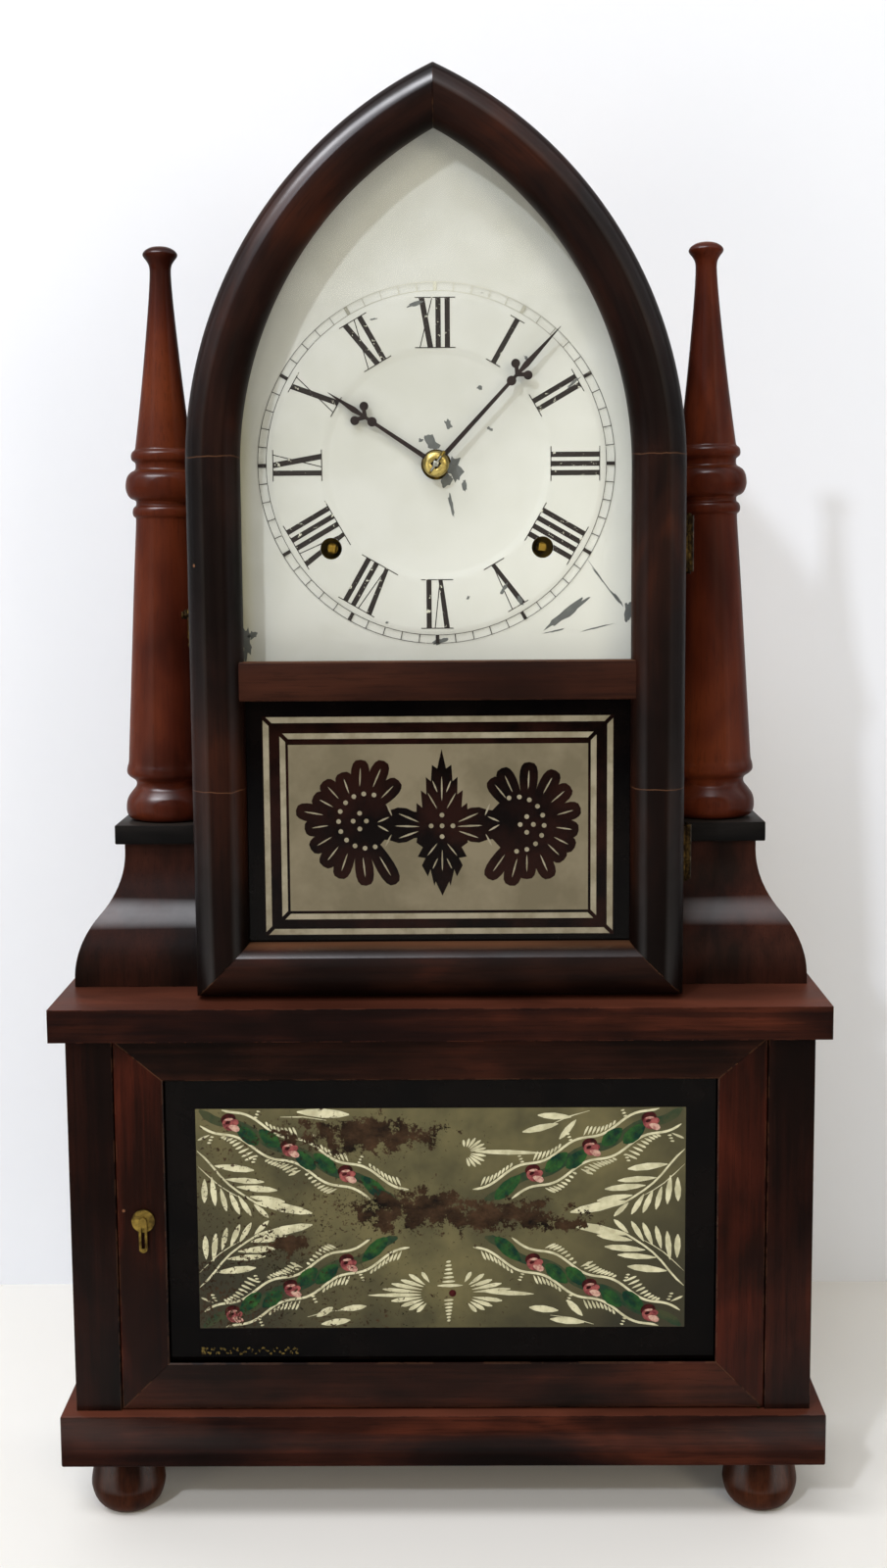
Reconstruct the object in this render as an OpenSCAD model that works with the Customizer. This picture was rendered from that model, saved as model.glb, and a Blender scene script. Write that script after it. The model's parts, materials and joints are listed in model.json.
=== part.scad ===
// Two-deck lancet shelf clock. Width runs along X, the front faces -Y, up is +Z.
// The origin is the centre of the footprint at table height. Lengths are millimetres.

/* [Feet and base case] */
// Width of the plinth and of the waist board
board_w = 352; // [340:1:380]
// Depth of the plinth and of the waist board
board_d = 118; // [116:1:130]
// Height of the turned feet
foot_h = 31.6; // [24:0.2:40]
// Widest radius of the bun feet
foot_r = 17.4; // [12:0.1:18]
// Inset of the foot centres from the ends of the plinth
foot_inset_x = 26; // [20:0.5:40]
// Inset of the foot centres from the front and back of the plinth
foot_inset_y = 28.5; // [19:0.5:32]
// Thickness of the plinth
plinth_h = 24.5; // [18:0.5:32]
// Width of the base case over its sides
base_w = 338.8; // [330:0.2:340]
// Height of the base case between the plinth and the waist board
base_h = 176.1; // [170:0.1:200]
// Step from the front of the plinth back to the front of the base case
base_step = 6.5; // [4:0.5:9]
// Thickness of the base case's side boards
side_t = 9.4; // [7:0.2:12]
// Thickness of both backboards
back_t = 4; // [3:0.5:6]
// Width of the front stiles beside the base door
stile_w = 20.9; // [16:0.1:26]
// Thickness of the front stiles and of the base door
stile_t = 16; // [13:0.5:18]
// Thickness of the waist board
waist_h = 15.1; // [12:0.1:20]

/* [Base door] */
// Gap round the base door
door_gap = 0.8; // [0.6:0.1:1]
// Width of the door's two upright stiles
base_door_stile_w = 22.3; // [19:0.1:26]
// Height of the door's top rail
base_door_top_h = 18.8; // [14:0.1:24]
// Height of the door's bottom rail
base_door_bottom_h = 22; // [16:0.5:28]
// Width of the rebate that holds the glass
rebate_w = 4; // [3:0.5:6]
// Distance from the door's face back to the glass
glass_set_back = 4; // [3:0.5:6]
// Thickness of every pane of glass
glass_t = 2; // [1.5:0.1:2.5]
// Radius of the door's wire pivots
pivot_r = 0.8; // [0.6:0.1:1]
// Height of the latch above the plinth
latch_rise = 91.4; // [60:0.1:120]
// Radius of the latch's brass rose
latch_rose_r = 5.3; // [4:0.1:7]
// Length of the latch's hanging loop
latch_loop_l = 14.5; // [10:0.5:18]

/* [Lancet case and door] */
// Width of the lancet door
arch_w = 222; // [216:1:226]
// Radius of the lancet door's outer arcs
arch_r = 191; // [180:1:205]
// Height from the waist board up to the spring line of the arcs
spring_rise = 239.3; // [235:0.1:250]
// Width of the half-round door moulding
frame_w = 24; // [20:0.5:26]
// Height of the straight back part of the moulding, behind its half-round face
frame_back_t = 9.5; // [8:0.5:12]
// Distance that the moulding's crest stands behind the front of the waist board
crest_set_back = 10; // [6:0.5:13]
// Gap under the lancet door
arch_door_gap = 1.5; // [0.8:0.1:2.5]
// Height of the cross bar above the waist board
bar_rise = 136.7; // [120:0.1:140]
// Height of the cross bar itself
bar_h = 17.5; // [12:0.5:22]
// Thickness of the cross bar
bar_t = 15.5; // [12:0.5:17]
// Depth of the glass rebate in the moulding's back
arch_rebate_d = 6.5; // [5:0.5:7.5]
// Amount by which the lancet case is smaller than its door all round
case_inset = 1; // [0.6:0.1:1.6]
// Thickness of the lancet case's bent band
band_t = 8; // [6:0.5:9]
// Gap between the lancet door and the lancet case
face_gap = 0.5; // [0.4:0.1:0.8]
// Radius of the hinge knuckles
knuckle_r = 2.2; // [1.8:0.1:2.4]
// Length of each hinge
hinge_l = 25; // [18:1:32]
// Height of the lower hinge above the waist board
low_hinge_rise = 53; // [40:1:70]
// Height of the upper hinge above the waist board
high_hinge_rise = 193; // [150:1:205]
// Height of the hook above the waist board
hook_rise = 175; // [120:1:200]

/* [Shoulders and finials] */
// Width of the shoulder's foot beyond the centre line
shoulder_foot_x = 172; // [168:0.5:174]
// Height of the shoulders
shoulder_h = 65.1; // [60:0.1:72]
// Sideways reach of the ogee from its top to its foot
ogee_run = 21.5; // [16:0.5:24]
// Radius of both ogee arcs
ogee_r = 43; // [40:0.5:60]
// Distance of the shoulder's foot behind the front of the waist board
shoulder_set_back = 46; // [42:0.5:50]
// Thickness of the corner blocks
block_h = 9.2; // [7:0.1:12]
// Overhang of the corner blocks beyond the shoulders
block_overhang = 4; // [2:0.5:5]
// Height of the finials
finial_h = 271.6; // [240:0.1:290]
// Radius of the finial's base bulb
finial_base_r = 20.6; // [18:0.1:21]
// Gap between the finial's base bulb and the lancet case
finial_gap = 0.9; // [0.5:0.1:2]
// Distance of the finial's axis behind the front of the waist board
finial_set_back = 88; // [86:0.5:92]

/* [Dial and hands] */
// Height of the dial's centre above the waist board
dial_rise = 241.7; // [238:0.1:246]
// Distance from the dial face back from the lancet case's front edge
dial_set_back = 8.5; // [7.5:0.5:9]
// Thickness of the dial plate
dial_t = 1; // [0.8:0.1:1.2]
// Height of the raised chapter ring
ring_raise = 1; // [0.6:0.1:1.4]
// Inner radius of the raised chapter ring
ring_in_r = 50.5; // [46:0.5:55]
// Outer radius of the raised chapter ring
ring_out_r = 76; // [74:0.5:79]
// Sideways distance of the winding holes from the centre
wind_x = 48; // [47.5:0.1:49]
// Drop of the winding holes below the centre
wind_drop = 37.4; // [37:0.1:38]
// Radius of the winding holes
wind_hole_r = 4.9; // [4:0.1:6]
// Radius of the hole at the dial's centre
dial_hole_r = 6.8; // [4:0.1:8]
// Length of the minute hand
minute_l = 82; // [70:0.5:84]
// Length of the hour hand
hour_l = 58; // [48:0.5:64]
// Angle of the minute hand, clockwise from twelve
minute_angle = 43; // [0:1:359]
// Angle of the hour hand, clockwise from twelve
hour_angle = 303.6; // [0:0.1:359]
// Thickness of the hands
hand_t = 0.8; // [0.5:0.1:0.9]
// Radius of the brass hand collet
collet_r = 5.8; // [4:0.1:6.4]

/* [Movement] */
// Half width of the movement plates
plate_half_w = 80; // [79:0.5:84]
// Height of the plates' top edge above the dial centre
plate_top = 58; // [57:0.5:62]
// Depth of the plates' bottom edge below the dial centre
plate_bottom = 62; // [61:0.5:64]
// Thickness of the movement plates
plate_t = 1.6; // [1.2:0.1:2]
// Distance from the dial's back to the front plate
dial_to_plate = 19.5; // [19:0.5:22]
// Inside distance between the plates
plate_space = 28.4; // [28:0.2:32]
// Height of the pine blocks behind the movement
block_grip = 13; // [10:0.5:16]
// Half width of the pine blocks behind the movement
block_half_w = 51; // [48:0.5:54]
// Height of the pine blocks that carry the dial
dial_block_h = 20; // [14:1:26]
// Radius of the wheel arbors
arbor_r = 1.5; // [1.3:0.1:1.7]
// Radius of the arbors' pivots
pin_r = 0.8; // [0.6:0.1:0.9]
// Radial clearance of every running fit
run_gap = 0.05; // [0.03:0.01:0.08]
// Thickness of the wheels
wheel_t = 1.2; // [1:0.1:1.5]
// Teeth of both great wheels
great_teeth = 84; // [84:1:86]
// Module of both great wheels
great_mod = 0.7; // [0.7:0.005:0.71]
// Teeth of the time side's second wheel
second_teeth = 80; // [80:1:81]
// Module of the time side's second wheel
second_mod = 0.68; // [0.68:0.005:0.69]
// Teeth of the centre wheel
centre_teeth = 80; // [78:2:80]
// Module of the centre wheel and of the motion work's first pair
centre_mod = 0.5; // [0.48:0.01:0.5]
// Teeth of the third wheel
third_teeth = 72; // [70:1:72]
// Module of the third wheel
third_mod = 0.45; // [0.44:0.01:0.46]
// Leaves of the lantern pinions on the second, centre and third arbors
pinion_leaves = 8; // [8:1:8]
// Leaves of the escape pinion
escape_leaves = 7; // [7:1:7]
// Teeth of the escape wheel
escape_teeth = 45; // [40:1:46]
// Radius of the escape wheel
escape_r = 16; // [14:0.5:16]
// Teeth of the cannon pinion that drives the motion work
cannon_teeth = 12; // [12:1:12]
// Teeth of the minute wheel
minute_teeth = 36; // [36:1:36]
// Teeth of the minute wheel's pinion
minute_pinion_teeth = 10; // [10:1:10]
// Teeth of the hour wheel
hour_teeth = 40; // [40:1:40]

/* [Strike train] */
// Teeth of the strike side's second wheel
strike_second_teeth = 72; // [70:1:73]
// Module of the strike side's second wheel
strike_second_mod = 0.65; // [0.63:0.01:0.66]
// Teeth of the strike side's third wheel
strike_third_teeth = 60; // [56:1:61]
// Module of the strike side's third wheel
strike_third_mod = 0.5; // [0.48:0.01:0.5]
// Leaves of the fly's pinion
fly_leaves = 6; // [6:1:6]
// Half length of the fly's blade
fly_reach = 11.5; // [9:0.5:12]
// Radius of the count wheel
count_r = 24; // [20:0.5:27]
// Radius of the gong's outer turn
gong_r = 38; // [32:0.5:42]
// Radius of the gong wire
gong_wire_r = 1.3; // [1:0.1:1.6]
// Gap from one turn of the gong to the next
gong_pitch = 5.4; // [5:0.1:7]
// Drop of the gong's centre below the dial centre
gong_drop = 167; // [160:0.5:172]
// Gap between the hammer head and the gong at rest
strike_gap = 1.5; // [1:0.1:2.5]

/* [Pendulum] */
// Length from the pendulum's pivot to the middle of its bob
pendulum_l = 150; // [140:1:158]
// Radius of the bob
bob_r = 19; // [15:0.5:22]
// Thickness of the bob
bob_t = 8; // [6:0.5:9]
// Radius of the pendulum rod
rod_r = 0.8; // [0.6:0.1:0.9]

/* [Spring drive] */
// Radius of the winding drums' barrels
drum_r = 8.6; // [8:0.1:9]
// Radius of the pulleys' grooves
pulley_r = 26; // [24:0.2:27]
// Radius of the two drive cords
cord_r = 1; // [0.8:0.1:1.2]
// Height of the cross shafts above the plinth
shaft_rise = 38.9; // [36:0.1:42]
// Radius of the cross shafts
shaft_r = 4; // [3.5:0.1:5]
// Throw of the cranks
crank_r = 16; // [15:0.5:17]
// Angle of the cranks at rest, from the centre line side
crank_angle = 30; // [28:1:32]
// Bend radius of the leaf spring's upper face
leaf_bend_r = 220; // [205:1:240]
// Number of leaves
leaf_count = 8; // [6:1:9]
// Thickness of one leaf
leaf_t = 2.2; // [1.8:0.1:2.4]
// Width of the leaves
leaf_w = 16; // [14:0.5:17]
// Half length of the longest leaf
leaf_half_l = 108; // [106:0.5:112]
// Half width of the iron saddle under the leaves
saddle_half_w = 16; // [14:0.5:20]
// Half length of the shortest leaf
leaf_short_l = 34; // [30:1:44]
// Height of the leaf spring's upper face above the plinth, at its middle
leaf_rise = 68; // [66:0.5:74]
// Distance of the tip pins from the centre line
tip_x = 100; // [99:0.5:101]

/* [Hidden] */

fn_big = 96;
fn_mid = 48;
fn_small = 24;
seat = 0.05;
over = 1;

// Levels
plinth_z = foot_h + plinth_h;
waist_z = plinth_z + base_h;
deck_z = waist_z + waist_h;
spring_z = deck_z + spring_rise;
centre_z = deck_z + dial_rise;
front_y = -board_d / 2;
back_y = board_d / 2;

// Lancet outline
arch_off = arch_r - arch_w / 2;
frame_t = frame_back_t + frame_w / 2;
door_back_y = front_y + crest_set_back + frame_t;
case_front_y = door_back_y + face_gap;
case_back_y = back_y - back_t;
door_z = deck_z + arch_door_gap;
inner_half_w = arch_w / 2 - frame_w;
bar_z = deck_z + bar_rise;

// Base case
base_y = front_y + base_step;
stile_back_y = base_y + stile_t;
base_door_half_w = base_w / 2 - stile_w - door_gap * 0.6;
base_door_z0 = plinth_z + door_gap;
base_door_z1 = waist_z - door_gap;
base_open_half_w = base_door_half_w - base_door_stile_w;
base_open_z0 = base_door_z0 + base_door_bottom_h;
base_open_z1 = base_door_z1 - base_door_top_h;
pivot_x = base_door_half_w - pivot_r - 1.2;
pivot_y = base_y + pivot_r + 0.2;
pivot_in = 7;
latch_x = -(base_open_half_w + base_door_stile_w * 0.46);
latch_z = plinth_z + latch_rise;
latch_pin_r = 1.6;
tongue_l = 17;

// Shoulders
shoulder_front_y = front_y + shoulder_set_back;
shoulder_back_y = case_back_y;
shoulder_in_x = arch_w / 2 - case_inset;
block_z = deck_z + shoulder_h;
finial_z = block_z + block_h;
finial_x = shoulder_in_x + finial_base_r + finial_gap;
finial_y = front_y + finial_set_back;

ogee_turn = acos(1 - ogee_run / 2 / ogee_r);

// Hinges and hook
hinge_x = arch_w / 2 + knuckle_r + 0.2;
hinge_y = door_back_y + face_gap / 2;
hinge_pin_r = 1;
hinge_leaf_t = 0.8;
hinge_leaf_w = 8;
hinge_zs = [deck_z + low_hinge_rise, deck_z + high_hinge_rise];
hook_z = deck_z + hook_rise;
hook_y = case_front_y + 6;
hook_reach = 12;
hook_t = 1.4;
hook_pin_r = 1;
catch_r = 0.9;

// Depths of the movement
dial_y = case_front_y + dial_set_back;
dial_back_y = dial_y + dial_t;
plate_y = dial_back_y + dial_to_plate;
plate_in_y = plate_y + plate_t;
back_in_y = plate_in_y + plate_space;
back_out_y = back_in_y + plate_t;
end_play = 0.4;
great_y = back_in_y - 6;
second_y = plate_in_y + 4.4;
centre_wheel_y = plate_in_y + 10.4;
third_setback = 16.4;
third_y = plate_in_y + third_setback;
escape_y = plate_y - 6;

// Arbor places, as [x, z]
centre = [0, centre_z];
time_wind = [wind_x, centre_z - wind_drop];
strike_wind = [-wind_x, centre_z - wind_drop];
great_reach = great_mod * (great_teeth + pinion_leaves) / 2;
second_reach = second_mod * (second_teeth + pinion_leaves) / 2;
third_reach = centre_mod * (centre_teeth + pinion_leaves) / 2;
escape_reach = third_mod * (third_teeth + escape_leaves) / 2;
motion_reach = centre_mod * (cannon_teeth + minute_teeth) / 2;
hour_mod = 2 * motion_reach / (minute_pinion_teeth + hour_teeth);
strike_second_reach = strike_second_mod * (strike_second_teeth + pinion_leaves) / 2;
fly_reach_c = strike_third_mod * (strike_third_teeth + fly_leaves) / 2;

function polar(p, r, a) = [p[0] + r * cos(a), p[1] + r * sin(a)];
function heading(p, q) = atan2(q[1] - p[1], q[0] - p[0]);
// Point at ra from p and rb from q, on the left of the line from p to q
function meet(p, q, ra, rb) =
    let (d = norm(q - p), a = (ra * ra - rb * rb + d * d) / (2 * d), h = sqrt(ra * ra - a * a),
        u = (q - p) / d)
    [p[0] + a * u[0] - h * u[1], p[1] + a * u[1] + h * u[0]];

second = meet(centre, time_wind, second_reach, great_reach);
third_x = -4;
third = [third_x, centre_z - sqrt(pow(third_reach, 2) - pow(third_x, 2))];
escape = [0, third[1] - sqrt(pow(escape_reach, 2) - pow(third_x, 2))];
minute_stud_l = 13;
minute_pinion_out = 12.5;
minute_stud = polar(centre, motion_reach, 135);
strike_second = polar(strike_wind, great_reach, 80);
strike_third = polar(strike_second, strike_second_reach, 55);
fly_at = polar(strike_third, fly_reach_c, 60);
verge_at = [0, escape[1] + escape_r + 4];
pendulum_at = [0, verge_at[1] + 5];
pendulum_y = plate_y - 11;
crutch_l = 47;
crutch_z = pendulum_at[1] - crutch_l;
post_r = 1.4;
hammer_at = [-(plate_half_w - 6), centre_z - 3];
top_pillar_in = 20;
top_pillar_down = 8;
pillar_spots = [[-(plate_half_w - 4), centre_z - plate_bottom + 5],
    [plate_half_w - 4, centre_z - plate_bottom + 5],
    [-(plate_half_w - top_pillar_in), centre_z + plate_top - top_pillar_down],
    [plate_half_w - top_pillar_in, centre_z + plate_top - top_pillar_down]];
pillar_r = 2.4;
screw_spots = [[-40, centre_z - plate_bottom + 6], [40, centre_z - plate_bottom + 6],
    [-45, centre_z + plate_top - 7], [45, centre_z + plate_top - 7]];
screw_r = 1.6;

// Tooth shape, in modules or parts of the pitch
addendum = 0.85;
dedendum = 1.15;
tooth_root = 0.44;
tooth_tip = 0.2;
trundle = 0.4;

// Hands
pipe_r = 2.6;
minute_arbor_r = 1.2;
hour_hand_y = dial_y - ring_raise - 3.4;
minute_hand_y = hour_hand_y - 3.6;
collet_y = minute_hand_y - 2.6;

// Spring drive
cord_gap = 0.2;
drum_flange_r = drum_r + 3.4;
drum_y0 = plate_in_y + 6.4;
drum_l = 14;
drum_y1 = drum_y0 + drum_l;
cord_y = (drum_y0 + drum_y1) / 2 + 1;
cord_x = wind_x + drum_r + cord_gap + cord_r;
shaft_x = cord_x + cord_r + cord_gap + pulley_r;
shaft_z = plinth_z + shaft_rise;
pulley_w = 10;
pulley_flange_r = pulley_r + 3.5;
leaf_z = plinth_z + leaf_rise;
leaf_setback = 43;
leaf_y = front_y + leaf_setback;
bend_z = leaf_z + leaf_bend_r;
crank_pin = polar([shaft_x, shaft_z], crank_r, crank_angle);
tip_leaf_z = bend_z - sqrt(pow(leaf_bend_r, 2) - pow(tip_x, 2));
tip_pin = [tip_x, tip_leaf_z - leaf_t - 9.2];
link_t = 4;
link_pin_r = 2;
crank_arm_t = 4;
ear_t = 3;
bracket_t = 4;
bracket_toe = 10;
bracket_half_w = shaft_r + bracket_toe;
front_bracket_y = leaf_y + leaf_w / 2 + 4;
bracket_setback = 14;
back_bracket_y = cord_y + bracket_setback;
// How far the second leaf stops short of the tip pin
second_leaf_back = 9;

// Gong
gong_at = [-10, centre_z - gong_drop];
gong_standoff = 9;
gong_y = case_back_y - gong_standoff;
gong_flange_r = 9;
gong_flange_t = 4;
gong_post_r = 4.5;
gong_turns = 5;
gong_half_turns = 2 * gong_turns;
hammer_head_r = 6;
hammer_head_l = 9;
hammer_y = back_out_y + 5;
lift_r = strike_second_mod * strike_second_teeth / 2 - 2.2;
lift_pin_r = 0.6;

module rod_y(p, y0, y1, r, fn = fn_small) {
    translate([p[0], y1, p[1]]) rotate([90, 0, 0]) cylinder(h = y1 - y0, r = r, $fn = fn);
}

// Flat shape drawn in X and Z, from y0 back to y1
module slab_y(y0, y1) {
    translate([0, y1, 0]) rotate([90, 0, 0]) linear_extrude(y1 - y0) children();
}

module box_at(x0, x1, y0, y1, z0, z1) {
    translate([x0, y0, z0]) cube([x1 - x0, y1 - y0, z1 - z0]);
}

module both_sides() {
    children();
    mirror([1, 0, 0]) children();
}

// Lancet outline, set in from the door's outline all round
module lancet(inset, z0) {
    r = arch_r - inset;
    intersection() {
        translate([-arch_off, spring_z]) circle(r = r, $fn = fn_big);
        translate([arch_off, spring_z]) circle(r = r, $fn = fn_big);
        translate([-arch_w, spring_z]) square([2 * arch_w, 2 * arch_r]);
    }
    translate([arch_off - r, z0]) square([2 * (r - arch_off), spring_z - z0]);
}

// Toothed outline with one tooth at angle a
module teeth(n, m, a) {
    pitch = 360 / n;
    rp = n * m / 2;
    polygon([for (i = [0 : n - 1], k = [0 : 3])
        let (r = (k == 0 || k == 3) ? rp - dedendum * m : rp + addendum * m,
            w = (k == 0 ? -tooth_root : k == 1 ? -tooth_tip : k == 2 ? tooth_tip : tooth_root) / 2,
            t = a + pitch * (i + w))
        [r * cos(t), r * sin(t)]]);
}

// Wheel with four arms, in X and Z about p
module wheel(p, n, m, a, y0, t, bore) {
    rp = n * m / 2;
    rim = rp - dedendum * m - 2.2;
    slab_y(y0, y0 + t) translate(p) difference() {
        teeth(n, m, a);
        difference() {
            circle(r = rim, $fn = fn_mid);
            circle(r = bore + 2.4, $fn = fn_small);
            for (s = [0, 90]) rotate(a + s + 45) square([2 * rp, 2.6], center = true);
        }
        circle(r = bore, $fn = fn_small);
    }
}

// Lantern pinion: two shrouds joined by trundles, the gap between trundles facing angle a
module lantern(p, n, m, a, y0, y1, bore) {
    rp = n * m / 2;
    shroud_t = 0.9;
    for (y = [y0, y1 - shroud_t]) slab_y(y, y + shroud_t) translate(p) difference() {
        circle(r = rp + m, $fn = fn_small);
        circle(r = bore, $fn = fn_small);
    }
    for (i = [0 : n - 1])
        rod_y(polar(p, rp, a + 360 / n * (i + 0.5)), y0 + shroud_t / 2, y1 - shroud_t / 2, trundle * m);
}

// Arbor between the plates with a pivot at each end
module arbor(p, r = arbor_r) {
    rod_y(p, plate_in_y + end_play, back_in_y - end_play, r);
    rod_y(p, plate_y, back_out_y, pin_r);
}

// Half-round door moulding, s across from the inner edge and depth forward from its back
module moulding() {
    difference() {
        union() {
            square([frame_w, frame_back_t]);
            intersection() {
                translate([frame_w / 2, frame_back_t]) circle(r = frame_w / 2, $fn = fn_big);
                square([frame_w, frame_t]);
            }
        }
        translate([-over, -over]) square([rebate_w + over, arch_rebate_d + over]);
    }
}

// Turned bun feet, widest low down
module feet() color("#3a2018")
    both_sides() for (y = [front_y + foot_inset_y, back_y - foot_inset_y])
        translate([board_w / 2 - foot_inset_x, y, 0]) rotate_extrude($fn = fn_mid)
            polygon([[0, 0], for (q = [[0.5, 0], [0.68, 0.03], [0.83, 0.1], [0.94, 0.21], [0.99, 0.31],
                [1, 0.37], [0.99, 0.46], [0.95, 0.6], [0.89, 0.76], [0.84, 0.9], [0.82, 1]])
                [q[0] * foot_r, q[1] * foot_h], [0, foot_h]]);

module plinth() color("#3b1a12")
    box_at(-board_w / 2, board_w / 2, front_y, back_y, foot_h, plinth_z);

// Side boards with the narrow stiles that stand beside the door
module base_sides() color("#3b1a12") both_sides() {
    box_at(base_w / 2 - side_t, base_w / 2, stile_back_y, case_back_y, plinth_z, waist_z);
    box_at(base_w / 2 - stile_w, base_w / 2, base_y, stile_back_y, plinth_z, waist_z);
}

module base_backboard() color("#8a6a45")
    box_at(-base_w / 2, base_w / 2, case_back_y, back_y, plinth_z, waist_z);

module waist_board() color("#4a1f14") difference() {
    box_at(-board_w / 2, board_w / 2, front_y, back_y, waist_z, deck_z);
    both_sides() translate([cord_x, cord_y, waist_z - over])
        cylinder(h = waist_h + 2 * over, r = cord_r + 2.5, $fn = fn_small);
}

// Ogee outline: run is the distance out from the top edge, up is the height
module ogee() {
    half_h = ogee_r * sin(ogee_turn);
    intersection() {
        translate([-ogee_r * 4, 0]) square([ogee_r * 8, shoulder_h]);
        union() {
            translate([-ogee_r * 4, 0]) square([ogee_r * 4 + ogee_run / 2, shoulder_h / 2]);
            translate([-ogee_r * 4, 0]) square([ogee_r * 4, shoulder_h]);
            difference() {
                square([ogee_run / 2, shoulder_h / 2 + half_h]);
                translate([ogee_r, shoulder_h / 2 + half_h]) circle(r = ogee_r, $fn = fn_big);
            }
            intersection() {
                translate([ogee_run - ogee_r, shoulder_h / 2 - half_h]) circle(r = ogee_r, $fn = fn_big);
                translate([ogee_run / 2 - over, shoulder_h / 2 - half_h])
                    square([ogee_run, half_h]);
            }
            square([ogee_run, shoulder_h / 2 - half_h]);
        }
    }
}

module shoulders() color("#34190f") both_sides() intersection() {
    box_at(shoulder_in_x, board_w, front_y, shoulder_back_y, deck_z, block_z);
    translate([shoulder_foot_x - ogee_run, 0, deck_z]) translate([0, shoulder_back_y, 0])
        rotate([90, 0, 0]) linear_extrude(board_d) ogee();
    translate([0, shoulder_front_y + ogee_run, deck_z]) rotate([90, 0, -90])
        translate([0, 0, -board_w]) linear_extrude(board_w) ogee();
}

module corner_blocks() color("#14160f") both_sides()
    box_at(shoulder_in_x, shoulder_foot_x - ogee_run + block_overhang,
        shoulder_front_y + ogee_run - block_overhang, shoulder_back_y, block_z, finial_z);

// Half outline of the turned finial, as parts of its height and base radius
module finial_outline() {
    h = finial_h;
    b = finial_base_r;
    shaft0 = 0.105 * h;
    shaft1 = 0.53 * h;
    spire0 = 0.655 * h;
    spire1 = 0.964 * h;
    polygon([[0, 0], [0.95 * b, 0], [b, 0.012 * h], [b, 0.03 * h], [0.9 * b, 0.052 * h],
        [0.8 * b, 0.062 * h], [0.8 * b, 0.07 * h], [0.97 * b, 0.079 * h], [0.97 * b, 0.094 * h],
        [0.93 * b, shaft0],
        [0.66 * b, shaft1], [0.72 * b, 0.54 * h], [0.72 * b, 0.551 * h], [0.64 * b, 0.558 * h],
        [0.8 * b, 0.569 * h], [0.87 * b, 0.588 * h], [0.8 * b, 0.608 * h], [0.62 * b, 0.622 * h],
        [0.72 * b, 0.632 * h], [0.73 * b, 0.642 * h], [0.64 * b, spire0],
        for (k = [1 : 9]) [b * (0.64 - 0.44 * pow(k / 9, 0.8)), spire0 + (spire1 - spire0) * k / 9],
        [0.24 * b, 0.974 * h], [0.39 * b, 0.984 * h], [0.37 * b, 0.993 * h], [0.15 * b, h], [0, h]]);
}

module finials() color("#6b2e1c") both_sides()
    translate([finial_x, finial_y, finial_z]) rotate_extrude($fn = fn_mid) finial_outline();

// Bent band of the lancet case, in two halves that meet at the point
module lancet_case() color("#33180f") both_sides() intersection() {
    slab_y(case_front_y, case_back_y) difference() {
        lancet(case_inset, deck_z);
        lancet(case_inset + band_t, deck_z - over);
    }
    box_at(0, board_w, front_y, back_y, deck_z, centre_z + board_w);
}

module lancet_backboard() color("#8a6a45")
    slab_y(case_back_y, back_y) lancet(case_inset, deck_z);

// Pine blocks glued in the lancet case: four carry the dial, two carry the movement
module case_blocks() color("#a07c50") {
    half_w = arch_w / 2 - case_inset - band_t;
    both_sides() for (z = [bar_z + dial_block_h * 0.7, spring_z - dial_block_h * 1.1])
        box_at(half_w - dial_block_h / 2, half_w, dial_back_y, dial_back_y + dial_block_h * 0.6,
            z, z + dial_block_h);
    box_at(-block_half_w, block_half_w, back_out_y, case_back_y,
        centre_z - plate_bottom, centre_z - plate_bottom + block_grip);
    box_at(-block_half_w, block_half_w, back_out_y, case_back_y,
        centre_z + plate_top - block_grip, centre_z + plate_top);
}

module dial() color("#e9e6da") {
    inset = case_inset + band_t + 0.4;
    difference() {
        union() {
            slab_y(dial_y, dial_back_y) lancet(inset, bar_z - 4);
            slab_y(dial_y - ring_raise, dial_y) translate(centre) difference() {
                circle(r = ring_out_r, $fn = fn_big);
                circle(r = ring_in_r, $fn = fn_big);
            }
        }
        rod_y(centre, dial_y - over, dial_back_y + over, dial_hole_r);
        for (p = [time_wind, strike_wind])
            rod_y(p, dial_y - ring_raise - over, dial_back_y + over, wind_hole_r, fn_mid);
    }
}

// Hinge knuckle and the leaf beside it
module knuckle(z0, z1, bore) {
    translate([hinge_x, hinge_y, z0]) difference() {
        cylinder(h = z1 - z0, r = knuckle_r, $fn = fn_small);
        translate([0, 0, -over]) cylinder(h = z1 - z0 + 2 * over, r = bore, $fn = fn_small);
    }
}

// Case halves of the hinges, the hook's screw and the base door's wire pivots
module case_brasses() color("#7d6a3a") {
    face_x = shoulder_in_x;
    for (z = hinge_zs) {
        third_l = hinge_l / 3;
        for (k = [0, 2]) {
            knuckle(z + k * third_l, z + (k + 1) * third_l, hinge_pin_r / 2);
            box_at(face_x, hinge_x - knuckle_r * 0.6, hinge_y + 0.9, hinge_y + 0.9 + hinge_leaf_t,
                z + k * third_l, z + (k + 1) * third_l);
        }
        box_at(face_x, face_x + hinge_leaf_t, hinge_y + 0.9, hinge_y + 0.9 + hinge_leaf_w, z, z + hinge_l);
        translate([hinge_x, hinge_y, z - 1]) cylinder(h = hinge_l + 2, r = hinge_pin_r, $fn = fn_small);
    }
    translate([-face_x, hook_y, hook_z]) rotate([0, -90, 0]) {
        cylinder(h = 5.2, r = hook_pin_r, $fn = fn_small);
        translate([0, 0, 4]) cylinder(h = 1.2, r = 2.2, $fn = fn_small);
    }
    translate([pivot_x, pivot_y, waist_z - pivot_in]) cylinder(h = pivot_in, r = pivot_r, $fn = fn_small);
    translate([pivot_x, pivot_y, plinth_z]) cylinder(h = pivot_in, r = pivot_r, $fn = fn_small);
}

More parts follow.
